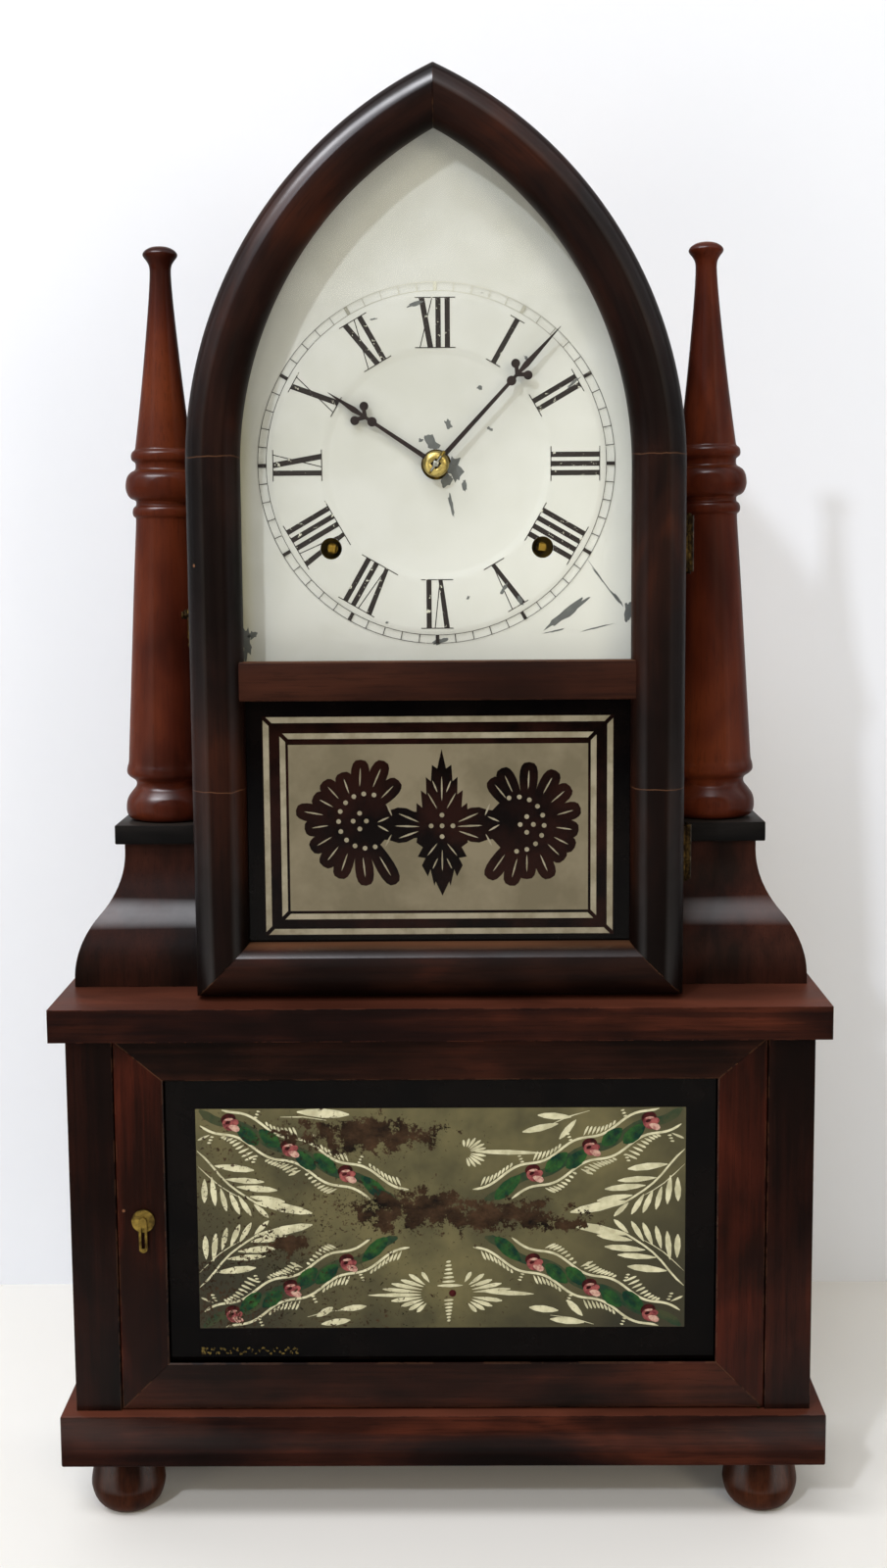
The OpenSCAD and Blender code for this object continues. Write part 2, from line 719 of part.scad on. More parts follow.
module lancet_door_moulding() {
    keep = 90;
    intersection() {
        union() {
            translate([-arch_off, door_back_y, spring_z]) rotate([90, 0, 0])
                rotate_extrude(angle = keep, $fn = fn_big)
                    translate([arch_r - frame_w, 0]) moulding();
            translate([inner_half_w, door_back_y, door_z])
                linear_extrude(spring_z - door_z) mirror([0, 1, 0]) moulding();
        }
        slab_y(front_y, back_y) polygon([[0, spring_z], [0, spring_z + 2 * arch_r],
            [arch_w, spring_z + 2 * arch_r], [arch_w, door_z - arch_w / 2], [arch_w / 2, door_z],
            [inner_half_w - over, door_z + frame_w + over]]);
    }
}

module lancet_door_left_moulding() color("#2f150d") mirror([1, 0, 0]) lancet_door_moulding();

module lancet_door_right_moulding() color("#2f150d") lancet_door_moulding();

module lancet_door_bottom_rail() color("#2a1610") intersection() {
    translate([-arch_w / 2, door_back_y, door_z + frame_w]) rotate([90, 0, 90])
        linear_extrude(arch_w) mirror([1, 1, 0]) moulding();
    slab_y(front_y, back_y) polygon([[-arch_w / 2, door_z], [arch_w / 2, door_z],
        [inner_half_w, door_z + frame_w], [-inner_half_w, door_z + frame_w]]);
}

// Flat bar whose ends are coped over the round moulding
module lancet_door_cross_bar() color("#35190f") difference() {
    translate([0, door_back_y, bar_z]) linear_extrude(bar_h) mirror([0, 1, 0]) difference() {
        union() {
            translate([-inner_half_w, 0]) square([2 * inner_half_w, bar_t]);
            translate([-inner_half_w - rebate_w, frame_back_t])
                square([2 * (inner_half_w + rebate_w), bar_t - frame_back_t]);
        }
        for (s = [-1, 1]) translate([s * (inner_half_w + frame_w / 2), frame_back_t])
            circle(r = frame_w / 2, $fn = fn_big);
    }
    for (z = [bar_z - over, bar_z + bar_h - rebate_w])
        box_at(-arch_w, arch_w, door_back_y - arch_rebate_d, door_back_y + over, z, z + rebate_w + over);
}

module dial_glass() color("#cfd8d8", 0.3)
    slab_y(door_back_y - arch_rebate_d, door_back_y - arch_rebate_d + glass_t)
        lancet(frame_w - rebate_w + 0.3, bar_z + bar_h - rebate_w + 0.3);

module stencilled_glass() color("#2a2a28")
    box_at(-inner_half_w - rebate_w + 0.3, inner_half_w + rebate_w - 0.3,
        door_back_y - arch_rebate_d, door_back_y - arch_rebate_d + glass_t,
        door_z + frame_w - rebate_w + 0.3, bar_z + rebate_w - 0.3);

// Door halves of the hinges and the catch pin for the hook
module lancet_door_brasses() color("#7d6a3a") {
    face_x = arch_w / 2;
    for (z = hinge_zs) {
        third_l = hinge_l / 3;
        knuckle(z + third_l + 0.2, z + 2 * third_l - 0.2, hinge_pin_r + run_gap);
        box_at(face_x, hinge_x - hinge_pin_r * 1.4, hinge_y - 1.7, hinge_y - 0.9,
            z + third_l + 0.2, z + 2 * third_l - 0.2);
        box_at(face_x, face_x + hinge_leaf_t, hinge_y - knuckle_r - 0.3, hinge_y - 0.9,
            z + third_l + 0.2, z + 2 * third_l - 0.2);
        box_at(face_x, face_x + hinge_leaf_t, hinge_y - hinge_leaf_w - 1.5, hinge_y - knuckle_r - 0.2,
            z, z + hinge_l);
    }
    translate([-face_x, hook_y - hook_reach, hook_z]) rotate([0, -90, 0]) {
        cylinder(h = 3.6, r = catch_r, $fn = fn_small);
        translate([0, 0, 2.9]) cylinder(h = 0.8, r = catch_r + 0.8, $fn = fn_small);
    }
}

// Small hook that hangs from the case and swings up over the catch pin
module lancet_hook() color("#7d6a3a")
    translate([-shoulder_in_x - 2.2, hook_y, hook_z]) rotate([0, 0, 180]) rotate([90, 0, 90])
        linear_extrude(hook_t) difference() {
            union() {
                circle(r = 2.6, $fn = fn_small);
                translate([-1.1, -hook_reach]) square([2.2, hook_reach]);
                translate([0, -hook_reach]) circle(r = 2.8, $fn = fn_small);
            }
            circle(r = hook_pin_r + run_gap, $fn = fn_small);
            translate([0, -hook_reach]) circle(r = catch_r + 0.4, $fn = fn_small);
            translate([0, -hook_reach - catch_r - 0.4]) square([4, 2 * (catch_r + 0.4)]);
        }

// Flat frame of the base door, rebated at the back for the glass
module base_frame_piece() {
    difference() {
        slab_y(base_y, stile_back_y) children();
        box_at(-base_open_half_w, base_open_half_w, base_y - over, stile_back_y + over,
            base_open_z0, base_open_z1);
        box_at(-base_open_half_w - rebate_w, base_open_half_w + rebate_w,
            base_y + glass_set_back, stile_back_y + over, base_open_z0 - rebate_w, base_open_z1 + rebate_w);
    }
}

module base_door_stiles() color("#3d1b12") difference() {
    base_frame_piece() both_sides() polygon([[base_door_half_w, base_door_z0],
        [base_door_half_w, base_door_z1], [base_open_half_w, base_open_z1],
        [base_open_half_w, base_open_z0]]);
    for (z = [base_door_z0 - over, base_door_z1 - pivot_in])
        translate([pivot_x, pivot_y, z])
            cylinder(h = pivot_in + over, r = pivot_r + run_gap, $fn = fn_small);
    rod_y([latch_x, latch_z], base_y - over, stile_back_y + over, latch_pin_r + run_gap);
}

module base_door_rails() color("#35180f") difference() {
    base_frame_piece() {
        polygon([[-base_door_half_w, base_door_z1], [base_door_half_w, base_door_z1],
            [base_open_half_w, base_open_z1], [-base_open_half_w, base_open_z1]]);
        polygon([[-base_door_half_w, base_door_z0], [base_door_half_w, base_door_z0],
            [base_open_half_w, base_open_z0], [-base_open_half_w, base_open_z0]]);
    }
    for (z = [base_door_z0 - over, base_door_z1 - pivot_in])
        translate([pivot_x, pivot_y, z])
            cylinder(h = pivot_in + over, r = pivot_r + run_gap, $fn = fn_small);
}

module painted_glass() color("#5d5f45")
    box_at(-base_open_half_w - rebate_w + 0.3, base_open_half_w + rebate_w - 0.3,
        base_y + glass_set_back, base_y + glass_set_back + glass_t,
        base_open_z0 - rebate_w + 0.3, base_open_z1 + rebate_w - 0.3);

// Brass rose with a hanging loop in front, and a tongue behind that turns under the stile
module base_door_latch() color("#8d7a35") {
    rod_y([latch_x, latch_z], base_y - 1.6, stile_back_y + 2.5, latch_pin_r);
    rod_y([latch_x, latch_z], base_y - 1.6, base_y - 0.3, latch_rose_r, fn_mid);
    slab_y(base_y - 3, base_y - 1.5) translate([latch_x, latch_z]) difference() {
        union() {
            circle(r = 1.9, $fn = fn_small);
            translate([-1.9, -latch_loop_l + 1.9]) square([3.8, latch_loop_l - 1.9]);
            translate([0, -latch_loop_l + 1.9]) circle(r = 1.9, $fn = fn_small);
        }
        translate([-0.8, -latch_loop_l + 1.9]) square([1.6, latch_loop_l - 4.5]);
    }
    slab_y(stile_back_y + 0.5, stile_back_y + 2) translate([latch_x - 3, latch_z - tongue_l])
        square([6, tongue_l + 3]);
}

module plate_outline() {
    translate([-plate_half_w, centre_z - plate_bottom]) square([2 * plate_half_w, plate_bottom + plate_top]);
}

// Pivot holes shared by both plates
module plate_holes() {
    for (p = [second, third, strike_second, strike_third, fly_at])
        translate(p) circle(r = pin_r + run_gap, $fn = fn_small);
    for (p = [time_wind, strike_wind]) translate(p) circle(r = 2.5 + run_gap, $fn = fn_small);
    translate(hammer_at) circle(r = arbor_r + run_gap, $fn = fn_small);
    translate(centre) circle(r = minute_arbor_r + run_gap, $fn = fn_small);
}

// Front plate with the post that carries the pendulum, the verge's pin and the minute wheel's stud
module front_plate() color("#b08d3c") {
    slab_y(plate_y, plate_in_y) difference() {
        plate_outline();
        plate_holes();
        translate(escape) circle(r = pin_r + run_gap, $fn = fn_small);
        for (p = pillar_spots) translate(p) circle(r = pin_r, $fn = fn_small);
    }
    rod_y(pendulum_at, pendulum_y - 1.8, plate_y, post_r);
    rod_y(verge_at, escape_y - 2.2, plate_y, pin_r);
    rod_y(minute_stud, plate_y - minute_stud_l, plate_y, pin_r);
}

module back_plate() color("#b08d3c")
    slab_y(back_in_y, back_out_y) difference() {
        plate_outline();
        plate_holes();
        translate(escape) circle(r = pin_r + run_gap, $fn = fn_small);
        for (p = pillar_spots) translate(p) circle(r = pin_r, $fn = fn_small);
        for (p = screw_spots) translate(p) circle(r = screw_r + 0.2, $fn = fn_small);
    }

// Pillars riveted between the plates, and the wood screws through the back plate
module plate_pillars() color("#8f8f8a") {
    for (p = pillar_spots) {
        rod_y(p, plate_in_y, back_in_y, pillar_r);
        rod_y(p, plate_y - 0.6, back_out_y + 0.6, pin_r);
    }
    for (p = screw_spots) rod_y(p, back_in_y - 1.8, back_in_y, screw_r + 1.6);
    for (p = screw_spots) rod_y(p, back_in_y - 1, back_out_y, screw_r);
}

// Arbor that carries the minute hand through the whole movement, with its cannon pinion
module minute_arbor() color("#9a9a94") {
    rod_y(centre, collet_y - 1.2, back_out_y + 0.8, minute_arbor_r);
    slab_y(plate_y - 6.5, plate_y - 3.2) translate(centre)
        teeth(cannon_teeth, centre_mod, heading(centre, minute_stud) + 180 / cannon_teeth);
    translate([0, collet_y - 0.5, centre_z]) rotate([0, 35, 0]) translate([0, 0, -4])
        cylinder(h = 8, r = 0.45, $fn = fn_small);
}

// One hand in X and Z, pointing up: a tapered shank, three round lobes on short arms, and a spear
module hand_shape(l, hub_r, bore, lobe_at) {
    lobe_r = 2;
    arm_in = lobe_at - 3.2;
    difference() {
        union() {
            circle(r = hub_r, $fn = fn_small);
            polygon([[-1.15, 0], [1.15, 0], [0.75, arm_in], [-0.75, arm_in]]);
            polygon([[-0.75, arm_in], [0.75, arm_in], [0.8, lobe_at - 1], [1.35, lobe_at + 3],
                [0.9, lobe_at + (l - lobe_at) * 0.45], [0.12, l], [-0.12, l],
                [-0.9, lobe_at + (l - lobe_at) * 0.45], [-1.35, lobe_at + 3], [-0.8, lobe_at - 1]]);
            translate([0, lobe_at - 6.8]) circle(r = lobe_r + 0.15, $fn = fn_small);
            for (side = [-1, 1]) {
                translate([side * 3.8, lobe_at]) circle(r = lobe_r, $fn = fn_small);
                polygon([[0, arm_in - 0.8], [side * 0.4, arm_in - 0.8], [side * 4, lobe_at - 0.6],
                    [side * 3.1, lobe_at + 0.9], [0, arm_in + 1.4]]);
            }
        }
        circle(r = bore, $fn = fn_small);
    }
}

module minute_hand() color("#2b1b18")
    slab_y(minute_hand_y, minute_hand_y + hand_t) translate(centre) rotate(-minute_angle)
        hand_shape(minute_l, 3.6, minute_arbor_r + 0.02, minute_l * 0.69);

module hand_collet() color("#b9922f") difference() {
    union() {
        rod_y(centre, collet_y + 1.2, minute_hand_y - seat, collet_r, fn_mid);
        rod_y(centre, collet_y + 0.4, collet_y + 1.4, collet_r * 0.75, fn_mid);
    }
    rod_y(centre, collet_y - over, minute_hand_y + over, minute_arbor_r + 0.02);
}

module minute_wheel() color("#b08d3c") {
    wheel(minute_stud, minute_teeth, centre_mod, heading(minute_stud, centre), plate_y - 6, 1.4,
        pin_r + run_gap);
    slab_y(plate_y - minute_pinion_out, plate_y - 5.8) translate(minute_stud) difference() {
        teeth(minute_pinion_teeth, hour_mod, heading(minute_stud, centre));
        circle(r = pin_r + run_gap, $fn = fn_small);
    }
}

module hour_wheel() color("#b08d3c") {
    wheel(centre, hour_teeth, hour_mod, heading(centre, minute_stud) + 180 / hour_teeth, plate_y - 12, 1.4,
        minute_arbor_r + run_gap);
    difference() {
        rod_y(centre, hour_hand_y - 1.2, plate_y - 10.6, pipe_r);
        rod_y(centre, hour_hand_y - 2.2, plate_y, minute_arbor_r + run_gap);
    }
}

module hour_hand() color("#2b1b18")
    slab_y(hour_hand_y, hour_hand_y + hand_t) translate(centre) rotate(-hour_angle)
        hand_shape(hour_l, 4.6, pipe_r + 0.02, hour_l * 0.71);

// Drum on its winding arbor, with a square for the key and the ratchet wheel at the back
module drum(p) {
    rod_y(p, dial_y + 9, back_out_y + 0.5, 2.5);
    translate([p[0], dial_y + 6.5, p[1]]) rotate([0, 8, 0]) cube([3.2, 6, 3.2], center = true);
    difference() {
        union() {
            rod_y(p, drum_y0, drum_y1, drum_r, fn_mid);
            rod_y(p, drum_y0, drum_y0 + 1.2, drum_flange_r, fn_mid);
            rod_y(p, drum_y1 - 1.2, drum_y1, drum_flange_r, fn_mid);
        }
        rod_y(p, drum_y0 - over, drum_y1 + over, 2.4);
    }
    slab_y(drum_y1 + 0.2, drum_y1 + 1.5) translate(p) difference() {
        polygon([for (i = [0 : 19], k = [0, 1])
            [(k == 0 ? 8 : 9.6) * cos(18 * i + 3 * k), (k == 0 ? 8 : 9.6) * sin(18 * i + 3 * k)]]);
        circle(r = 2.4, $fn = fn_small);
    }
}

module time_drum() color("#a88637") drum(time_wind);

module strike_drum() color("#a88637") drum(strike_wind);

// Great wheel that turns freely on the winding arbor, with the click that rides on it
module great_wheel(p, a) {
    wheel(p, great_teeth, great_mod, a, great_y, wheel_t, 2.5 + run_gap);
    difference() {
        rod_y(p, great_y, great_y + 2.6, 5);
        rod_y(p, great_y - over, great_y + 4, 2.5 + run_gap);
    }
    click_r = 12.6;
    slab_y(great_y - 1.3, great_y) translate(p) rotate(a + 45) {
        translate([click_r + 1.5, 0]) circle(r = 2, $fn = fn_small);
        polygon([[click_r, -1.5], [click_r + 2, 1.5], [click_r - 0.6, 7.5], [click_r - 1.9, 6.5]]);
    }
}

module time_great_wheel() color("#b08d3c") great_wheel(time_wind, heading(time_wind, second));

// The strike side's great wheel also carries the slotted count wheel
module strike_great_wheel() color("#b08d3c") {
    great_wheel(strike_wind, heading(strike_wind, strike_second));
    slots = [1, 3, 6, 10, 15, 21, 28, 36, 45, 55, 66, 78];
    slab_y(great_y + 2.6, great_y + 3.6) translate(strike_wind) difference() {
        circle(r = count_r, $fn = fn_mid);
        circle(r = 2.5 + run_gap, $fn = fn_small);
        for (k = slots) rotate(360 * k / 78) translate([count_r - 2, -0.8]) square([4, 1.6]);
        for (a = [0 : 90 : 270]) rotate(a + 45) translate([count_r * 0.58, 0])
            circle(r = count_r * 0.24, $fn = fn_small);
    }
}

module time_second_arbor() color("#b08d3c") {
    arbor(second);
    lantern(second, pinion_leaves, great_mod, heading(second, time_wind), great_y - 1.6,
        great_y + wheel_t + 1.6, arbor_r * 0.9);
    wheel(second, second_teeth, second_mod, heading(second, centre), second_y, wheel_t, arbor_r * 0.9);
}

// Wheel and pinion on a pipe that is friction-tight on the minute arbor
module centre_wheel() color("#b08d3c") {
    pipe_out = minute_arbor_r + run_gap + 0.5;
    difference() {
        rod_y(centre, second_y - 2.2, centre_wheel_y + 4, pipe_out);
        rod_y(centre, second_y - 4, centre_wheel_y + 6, minute_arbor_r + run_gap);
    }
    lantern(centre, pinion_leaves, second_mod, heading(centre, second), second_y - 1.6,
        second_y + wheel_t + 1.6, pipe_out - 0.1);
    wheel(centre, centre_teeth, centre_mod, heading(centre, third), centre_wheel_y, wheel_t, pipe_out - 0.1);
}

module third_arbor() color("#b08d3c") {
    arbor(third, arbor_r * 0.8);
    lantern(third, pinion_leaves, centre_mod, heading(third, centre), centre_wheel_y - 1.6,
        centre_wheel_y + wheel_t + 1.6, arbor_r * 0.7);
    wheel(third, third_teeth, third_mod, heading(third, escape), third_y, wheel_t, arbor_r * 0.7);
}

// Escape pinion between the plates, its wheel in front of them
module escape_wheel() color("#b08d3c") {
    arbor(escape, arbor_r * 0.6);
    rod_y(escape, escape_y - 0.8, plate_y, pin_r);
    lantern(escape, escape_leaves, third_mod, heading(escape, third), third_y - 1.6,
        third_y + wheel_t + 1.6, arbor_r * 0.5);
    slab_y(escape_y, escape_y + 1) translate(escape) difference() {
        polygon([for (i = [0 : escape_teeth - 1], k = [0 : 2])
            let (r = k == 1 ? escape_r : escape_r - 2, a = (i + [0, 0.45, 0.6][k]) * 360 / escape_teeth)
            [r * cos(a), r * sin(a)]]);
        difference() {
            circle(r = escape_r - 4, $fn = fn_mid);
            circle(r = 2.6, $fn = fn_small);
            for (s = [0, 90]) rotate(s) square([2 * escape_r, 2], center = true);
        }
        circle(r = pin_r * 0.9, $fn = fn_small);
    }
    rod_y(escape, escape_y - 0.6, escape_y + 1.8, 2.2);
}

// Bent steel pallet strip with its crutch wire and loop
module verge() color("#7c7c78") {
    reach = escape_r * 0.56;
    y0 = escape_y - 1.5;
    y1 = escape_y + 2.5;
    tip_drop = verge_at[1] - escape[1] - sqrt(pow(escape_r + 1.6, 2) - pow(reach, 2));
    slab_y(y0, y1) translate(verge_at) difference() {
        union() {
            circle(r = 1.9, $fn = fn_small);
            for (s = [-1, 1]) polygon([[0, 1.4], [s * reach, 1.2 - tip_drop * 0.2],
                [s * (reach + 0.9), -tip_drop], [s * (reach - 0.6), -tip_drop],
                [s * (reach - 1.4), -tip_drop * 0.3], [0, 0.2]]);
        }
        circle(r = pin_r + run_gap, $fn = fn_small);
    }
    crutch_y = pendulum_y + 2.2;
    wire_r = 0.5;
    rod_y([0, verge_at[1] + 2.2], crutch_y - wire_r - 0.2, y1, wire_r + 0.1);
    translate([0, crutch_y, crutch_z]) cylinder(h = verge_at[1] + 2 - crutch_z, r = wire_r, $fn = fn_small);
    for (s = [-1, 1]) box_at(s * 2 - wire_r, s * 2 + wire_r, pendulum_y - 2, crutch_y + 0.6,
        crutch_z - wire_r, crutch_z + wire_r);
    box_at(-2, 2, crutch_y - 0.6, crutch_y + 0.6, crutch_z - wire_r - 0.1, crutch_z + wire_r + 0.1);
}

module pendulum_rod() color("#8d8d88") {
    difference() {
        union() {
            rod_y(pendulum_at, pendulum_y - 1, pendulum_y + 1, post_r + 1.3);
            translate([0, pendulum_y, pendulum_at[1] - pendulum_l - bob_r - 8])
                cylinder(h = pendulum_l + bob_r + 6, r = rod_r, $fn = fn_small);
        }
        rod_y(pendulum_at, pendulum_y - 3, pendulum_y + 3, post_r + run_gap);
    }
    translate([0, pendulum_y, pendulum_at[1] - pendulum_l - bob_r - 5])
        cylinder(h = 2.4, r = 3, $fn = fn_small);
}

// Lens-shaped bob threaded on the rod
module pendulum_bob() color("#b9922f") {
    lens_r = (pow(bob_r, 2) + pow(bob_t / 2, 2)) / bob_t;
    translate([0, pendulum_y, pendulum_at[1] - pendulum_l]) difference() {
        rotate([90, 0, 0]) rotate_extrude($fn = fn_big) intersection() {
            translate([0, lens_r - bob_t / 2]) circle(r = lens_r, $fn = 4 * fn_big);
            translate([0, bob_t / 2 - lens_r]) circle(r = lens_r, $fn = 4 * fn_big);
            translate([0, -bob_t]) square([bob_r - 0.6, 2 * bob_t]);
        }
        translate([0, 0, -2 * bob_r]) cylinder(h = 4 * bob_r, r = rod_r + 0.02, $fn = fn_small);
    }
}

// Second arbor of the strike side, whose wheel carries the pins that lift the hammer
module strike_second_arbor() color("#b08d3c") {
    arbor(strike_second);
    lantern(strike_second, pinion_leaves, great_mod, heading(strike_second, strike_wind), great_y - 1.6,
        great_y + wheel_t + 1.6, arbor_r * 0.9);
    wheel(strike_second, strike_second_teeth, strike_second_mod, heading(strike_second, strike_third),
        second_y, wheel_t, arbor_r * 0.9);
    for (i = [0 : 7])
        rod_y(polar(strike_second, lift_r, 45 * i), second_y - 3, second_y + wheel_t / 2, lift_pin_r);
}

module strike_third_arbor() color("#b08d3c") {
    arbor(strike_third, arbor_r * 0.9);
    lantern(strike_third, pinion_leaves, strike_second_mod, heading(strike_third, strike_second),
        second_y - 1.6, second_y + wheel_t + 1.6, arbor_r * 0.8);
    wheel(strike_third, strike_third_teeth, strike_third_mod, heading(strike_third, fly_at), third_y,
        wheel_t, arbor_r * 0.8);
}

module fly() color("#b08d3c") {
    arbor(fly_at, arbor_r * 0.6);
    lantern(fly_at, fly_leaves, strike_third_mod, heading(fly_at, strike_third), third_y - 1.6,
        third_y + wheel_t + 1.6, arbor_r * 0.5);
    slab_y(plate_in_y + 3, third_y - 3) translate(fly_at) rotate(35) {
        square([2 * fly_reach, 0.6], center = true);
        circle(r = 1.5, $fn = fn_small);
    }
}

// Hammer arbor, its tail beside the lifting pins, and the wire down to the head
module hammer() color("#8d8d88") {
    head = [gong_at[0] - gong_r - gong_wire_r - strike_gap - hammer_head_l / 2, gong_at[1]];
    reach = norm(head - hammer_at);
    wire_r = 0.9;
    rod_y(hammer_at, plate_y, hammer_y + 2, arbor_r);
    rod_y(hammer_at, hammer_y - 2, hammer_y + 2, 3.2);
    tail_l = norm(strike_second - hammer_at) - lift_r - lift_pin_r - 0.6;
    slab_y(second_y - 2.8, second_y - 1.2) translate(hammer_at)
        rotate(heading(hammer_at, strike_second)) translate([0, -1.2]) square([tail_l, 2.4]);
    translate([hammer_at[0], hammer_y, hammer_at[1]])
        rotate([0, 180 - asin((head[0] - hammer_at[0]) / reach), 0])
            cylinder(h = reach, r = wire_r, $fn = fn_small);
    translate([head[0] - hammer_head_l / 2, hammer_y, head[1]]) rotate([0, 90, 0])
        cylinder(h = hammer_head_l, r = hammer_head_r, $fn = fn_mid);
}

// Flat coil of half turns that grow from two centres, on a post from the backboard
module gong() color("#6f6f72") {
    for (k = [0 : gong_half_turns - 1]) {
        r = gong_r - (k + 0.5) * gong_pitch / 2;
        shift = (k % 2 == 0 ? 0 : 1) * gong_pitch / 2;
        translate([gong_at[0] + shift, gong_y, gong_at[1]]) rotate([90, k % 2 == 0 ? 0 : 180, 0])
            rotate_extrude(angle = 180, $fn = fn_mid)
                translate([r, 0]) circle(r = gong_wire_r, $fn = fn_small);
    }
    last_r = gong_r - (gong_half_turns - 0.5) * gong_pitch / 2;
    box_at(gong_at[0] + gong_pitch / 2 - last_r, gong_at[0] + 3, gong_y - gong_wire_r, gong_y + gong_wire_r,
        gong_at[1] - gong_wire_r, gong_at[1] + gong_wire_r);
    rod_y(gong_at, gong_y - 3, case_back_y - gong_flange_t, gong_post_r);
    rod_y(gong_at, case_back_y - gong_flange_t, case_back_y, gong_flange_r, fn_mid);
}

// Graduated leaves, the longest on top, all bent to one centre
module leaf_spring() color("#4a4a4d") for (i = [0 : leaf_count - 1]) {
    next_l = tip_x - second_leaf_back;
    half_l = i == 0 ? leaf_half_l : next_l + (leaf_short_l - next_l) * (i - 1) / (leaf_count - 2);
    r = leaf_bend_r + i * leaf_t;
    intersection() {
        box_at(-half_l, half_l, leaf_y - leaf_w / 2, leaf_y + leaf_w / 2, plinth_z, deck_z);
        difference() {
            rod_y([0, bend_z], leaf_y - leaf_w / 2, leaf_y + leaf_w / 2, r + leaf_t - 0.03, fn_big);
            rod_y([0, bend_z], leaf_y - leaf_w, leaf_y + leaf_w, r, fn_big);
        }
    }
}

// Iron saddle under the leaves, cap plate over them and two bolts with nuts
module spring_saddle() color("#3c3c3e") {
    half_w = saddle_half_w;
    bolt_r = 2.6;
    bolt_y = leaf_w / 2 + bolt_r + 1.4;
    cap_z = bend_z - sqrt(pow(leaf_bend_r, 2) - pow(half_w - 2, 2)) + seat;
    difference() {
        box_at(-half_w, half_w, leaf_y - bolt_y - 5, leaf_y + bolt_y + 5, plinth_z, leaf_z - leaf_t);
        rod_y([0, bend_z], leaf_y - leaf_w / 2 - 0.5, leaf_y + leaf_w / 2 + 0.5,
            leaf_bend_r + leaf_count * leaf_t + seat, fn_big);
        for (s = [-1, 1]) translate([0, leaf_y + s * bolt_y, plinth_z - over])
            cylinder(h = 2 * leaf_rise, r = bolt_r, $fn = fn_small);
    }
    difference() {
        box_at(2 - half_w, half_w - 2, leaf_y - bolt_y - 5, leaf_y + bolt_y + 5, cap_z, cap_z + 4);
        for (s = [-1, 1]) translate([0, leaf_y + s * bolt_y, cap_z - over])
            cylinder(h = 6, r = bolt_r, $fn = fn_small);
    }
    for (s = [-1, 1]) translate([0, leaf_y + s * bolt_y, plinth_z]) {
        cylinder(h = cap_z + 4 - plinth_z, r = bolt_r - 0.1, $fn = fn_small);
        translate([0, 0, cap_z + 4 - plinth_z]) cylinder(h = 3.5, r = bolt_r + 1.8, $fn = 6);
    }
}

// Cross shaft with its grooved pulley and, in front, the crank and crank pin
module cross_shaft() {
    at = [shaft_x, shaft_z];
    arm_y1 = leaf_y + link_t / 2 + 1 + crank_arm_t;
    rod_y(at, arm_y1 - crank_arm_t, back_bracket_y + bracket_t + 2, shaft_r);
    translate([shaft_x, cord_y, shaft_z]) rotate([90, 0, 0]) rotate_extrude($fn = fn_big) {
        difference() {
            translate([shaft_r - 0.5, -pulley_w / 2]) square([pulley_flange_r - shaft_r + 0.5, pulley_w]);
            translate([pulley_r, -pulley_w / 2 + 2]) square([pulley_flange_r, pulley_w - 4]);
        }
    }
    slab_y(arm_y1 - crank_arm_t, arm_y1) {
        translate(at) circle(r = shaft_r + 3, $fn = fn_small);
        translate(crank_pin) circle(r = link_pin_r + 2.6, $fn = fn_small);
        translate(at) rotate(crank_angle) translate([0, -3]) square([crank_r, 6]);
    }
    rod_y(crank_pin, leaf_y - link_t / 2 - 0.6, arm_y1 - 1, link_pin_r);
}

module time_shaft() color("#55504a") cross_shaft();

module strike_shaft() color("#55504a") mirror([1, 0, 0]) cross_shaft();

module shaft_brackets() color("#48454a") both_sides()
    for (y = [front_bracket_y, back_bracket_y])
        slab_y(y, y + bracket_t) difference() {
            union() {
                translate([shaft_x - bracket_half_w, plinth_z]) square([2 * bracket_half_w, 5]);
                translate([shaft_x - 2 * shaft_r, plinth_z]) square([4 * shaft_r, shaft_rise]);
                translate([shaft_x, shaft_z]) circle(r = shaft_r + 4, $fn = fn_mid);
            }
            translate([shaft_x, shaft_z]) circle(r = shaft_r + run_gap, $fn = fn_mid);
        }

// Link from the crank pin up to the pin of the leaf's shackle, with room at its upper eye
module drag_link() {
    slab_y(leaf_y - link_t / 2, leaf_y + link_t / 2) difference() {
        union() {
            translate(crank_pin) circle(r = link_pin_r + 2.2, $fn = fn_small);
            translate(tip_pin) circle(r = link_pin_r + 3.2, $fn = fn_small);
            translate(crank_pin) rotate(heading(crank_pin, tip_pin)) translate([0, -1.8])
                square([norm(tip_pin - crank_pin), 3.6]);
        }
        translate(crank_pin) circle(r = link_pin_r + run_gap, $fn = fn_small);
        translate(tip_pin) circle(r = link_pin_r + 1.5, $fn = fn_small);
    }
}

module time_link() color("#4f4f52") drag_link();

module strike_link() color("#4f4f52") mirror([1, 0, 0]) drag_link();

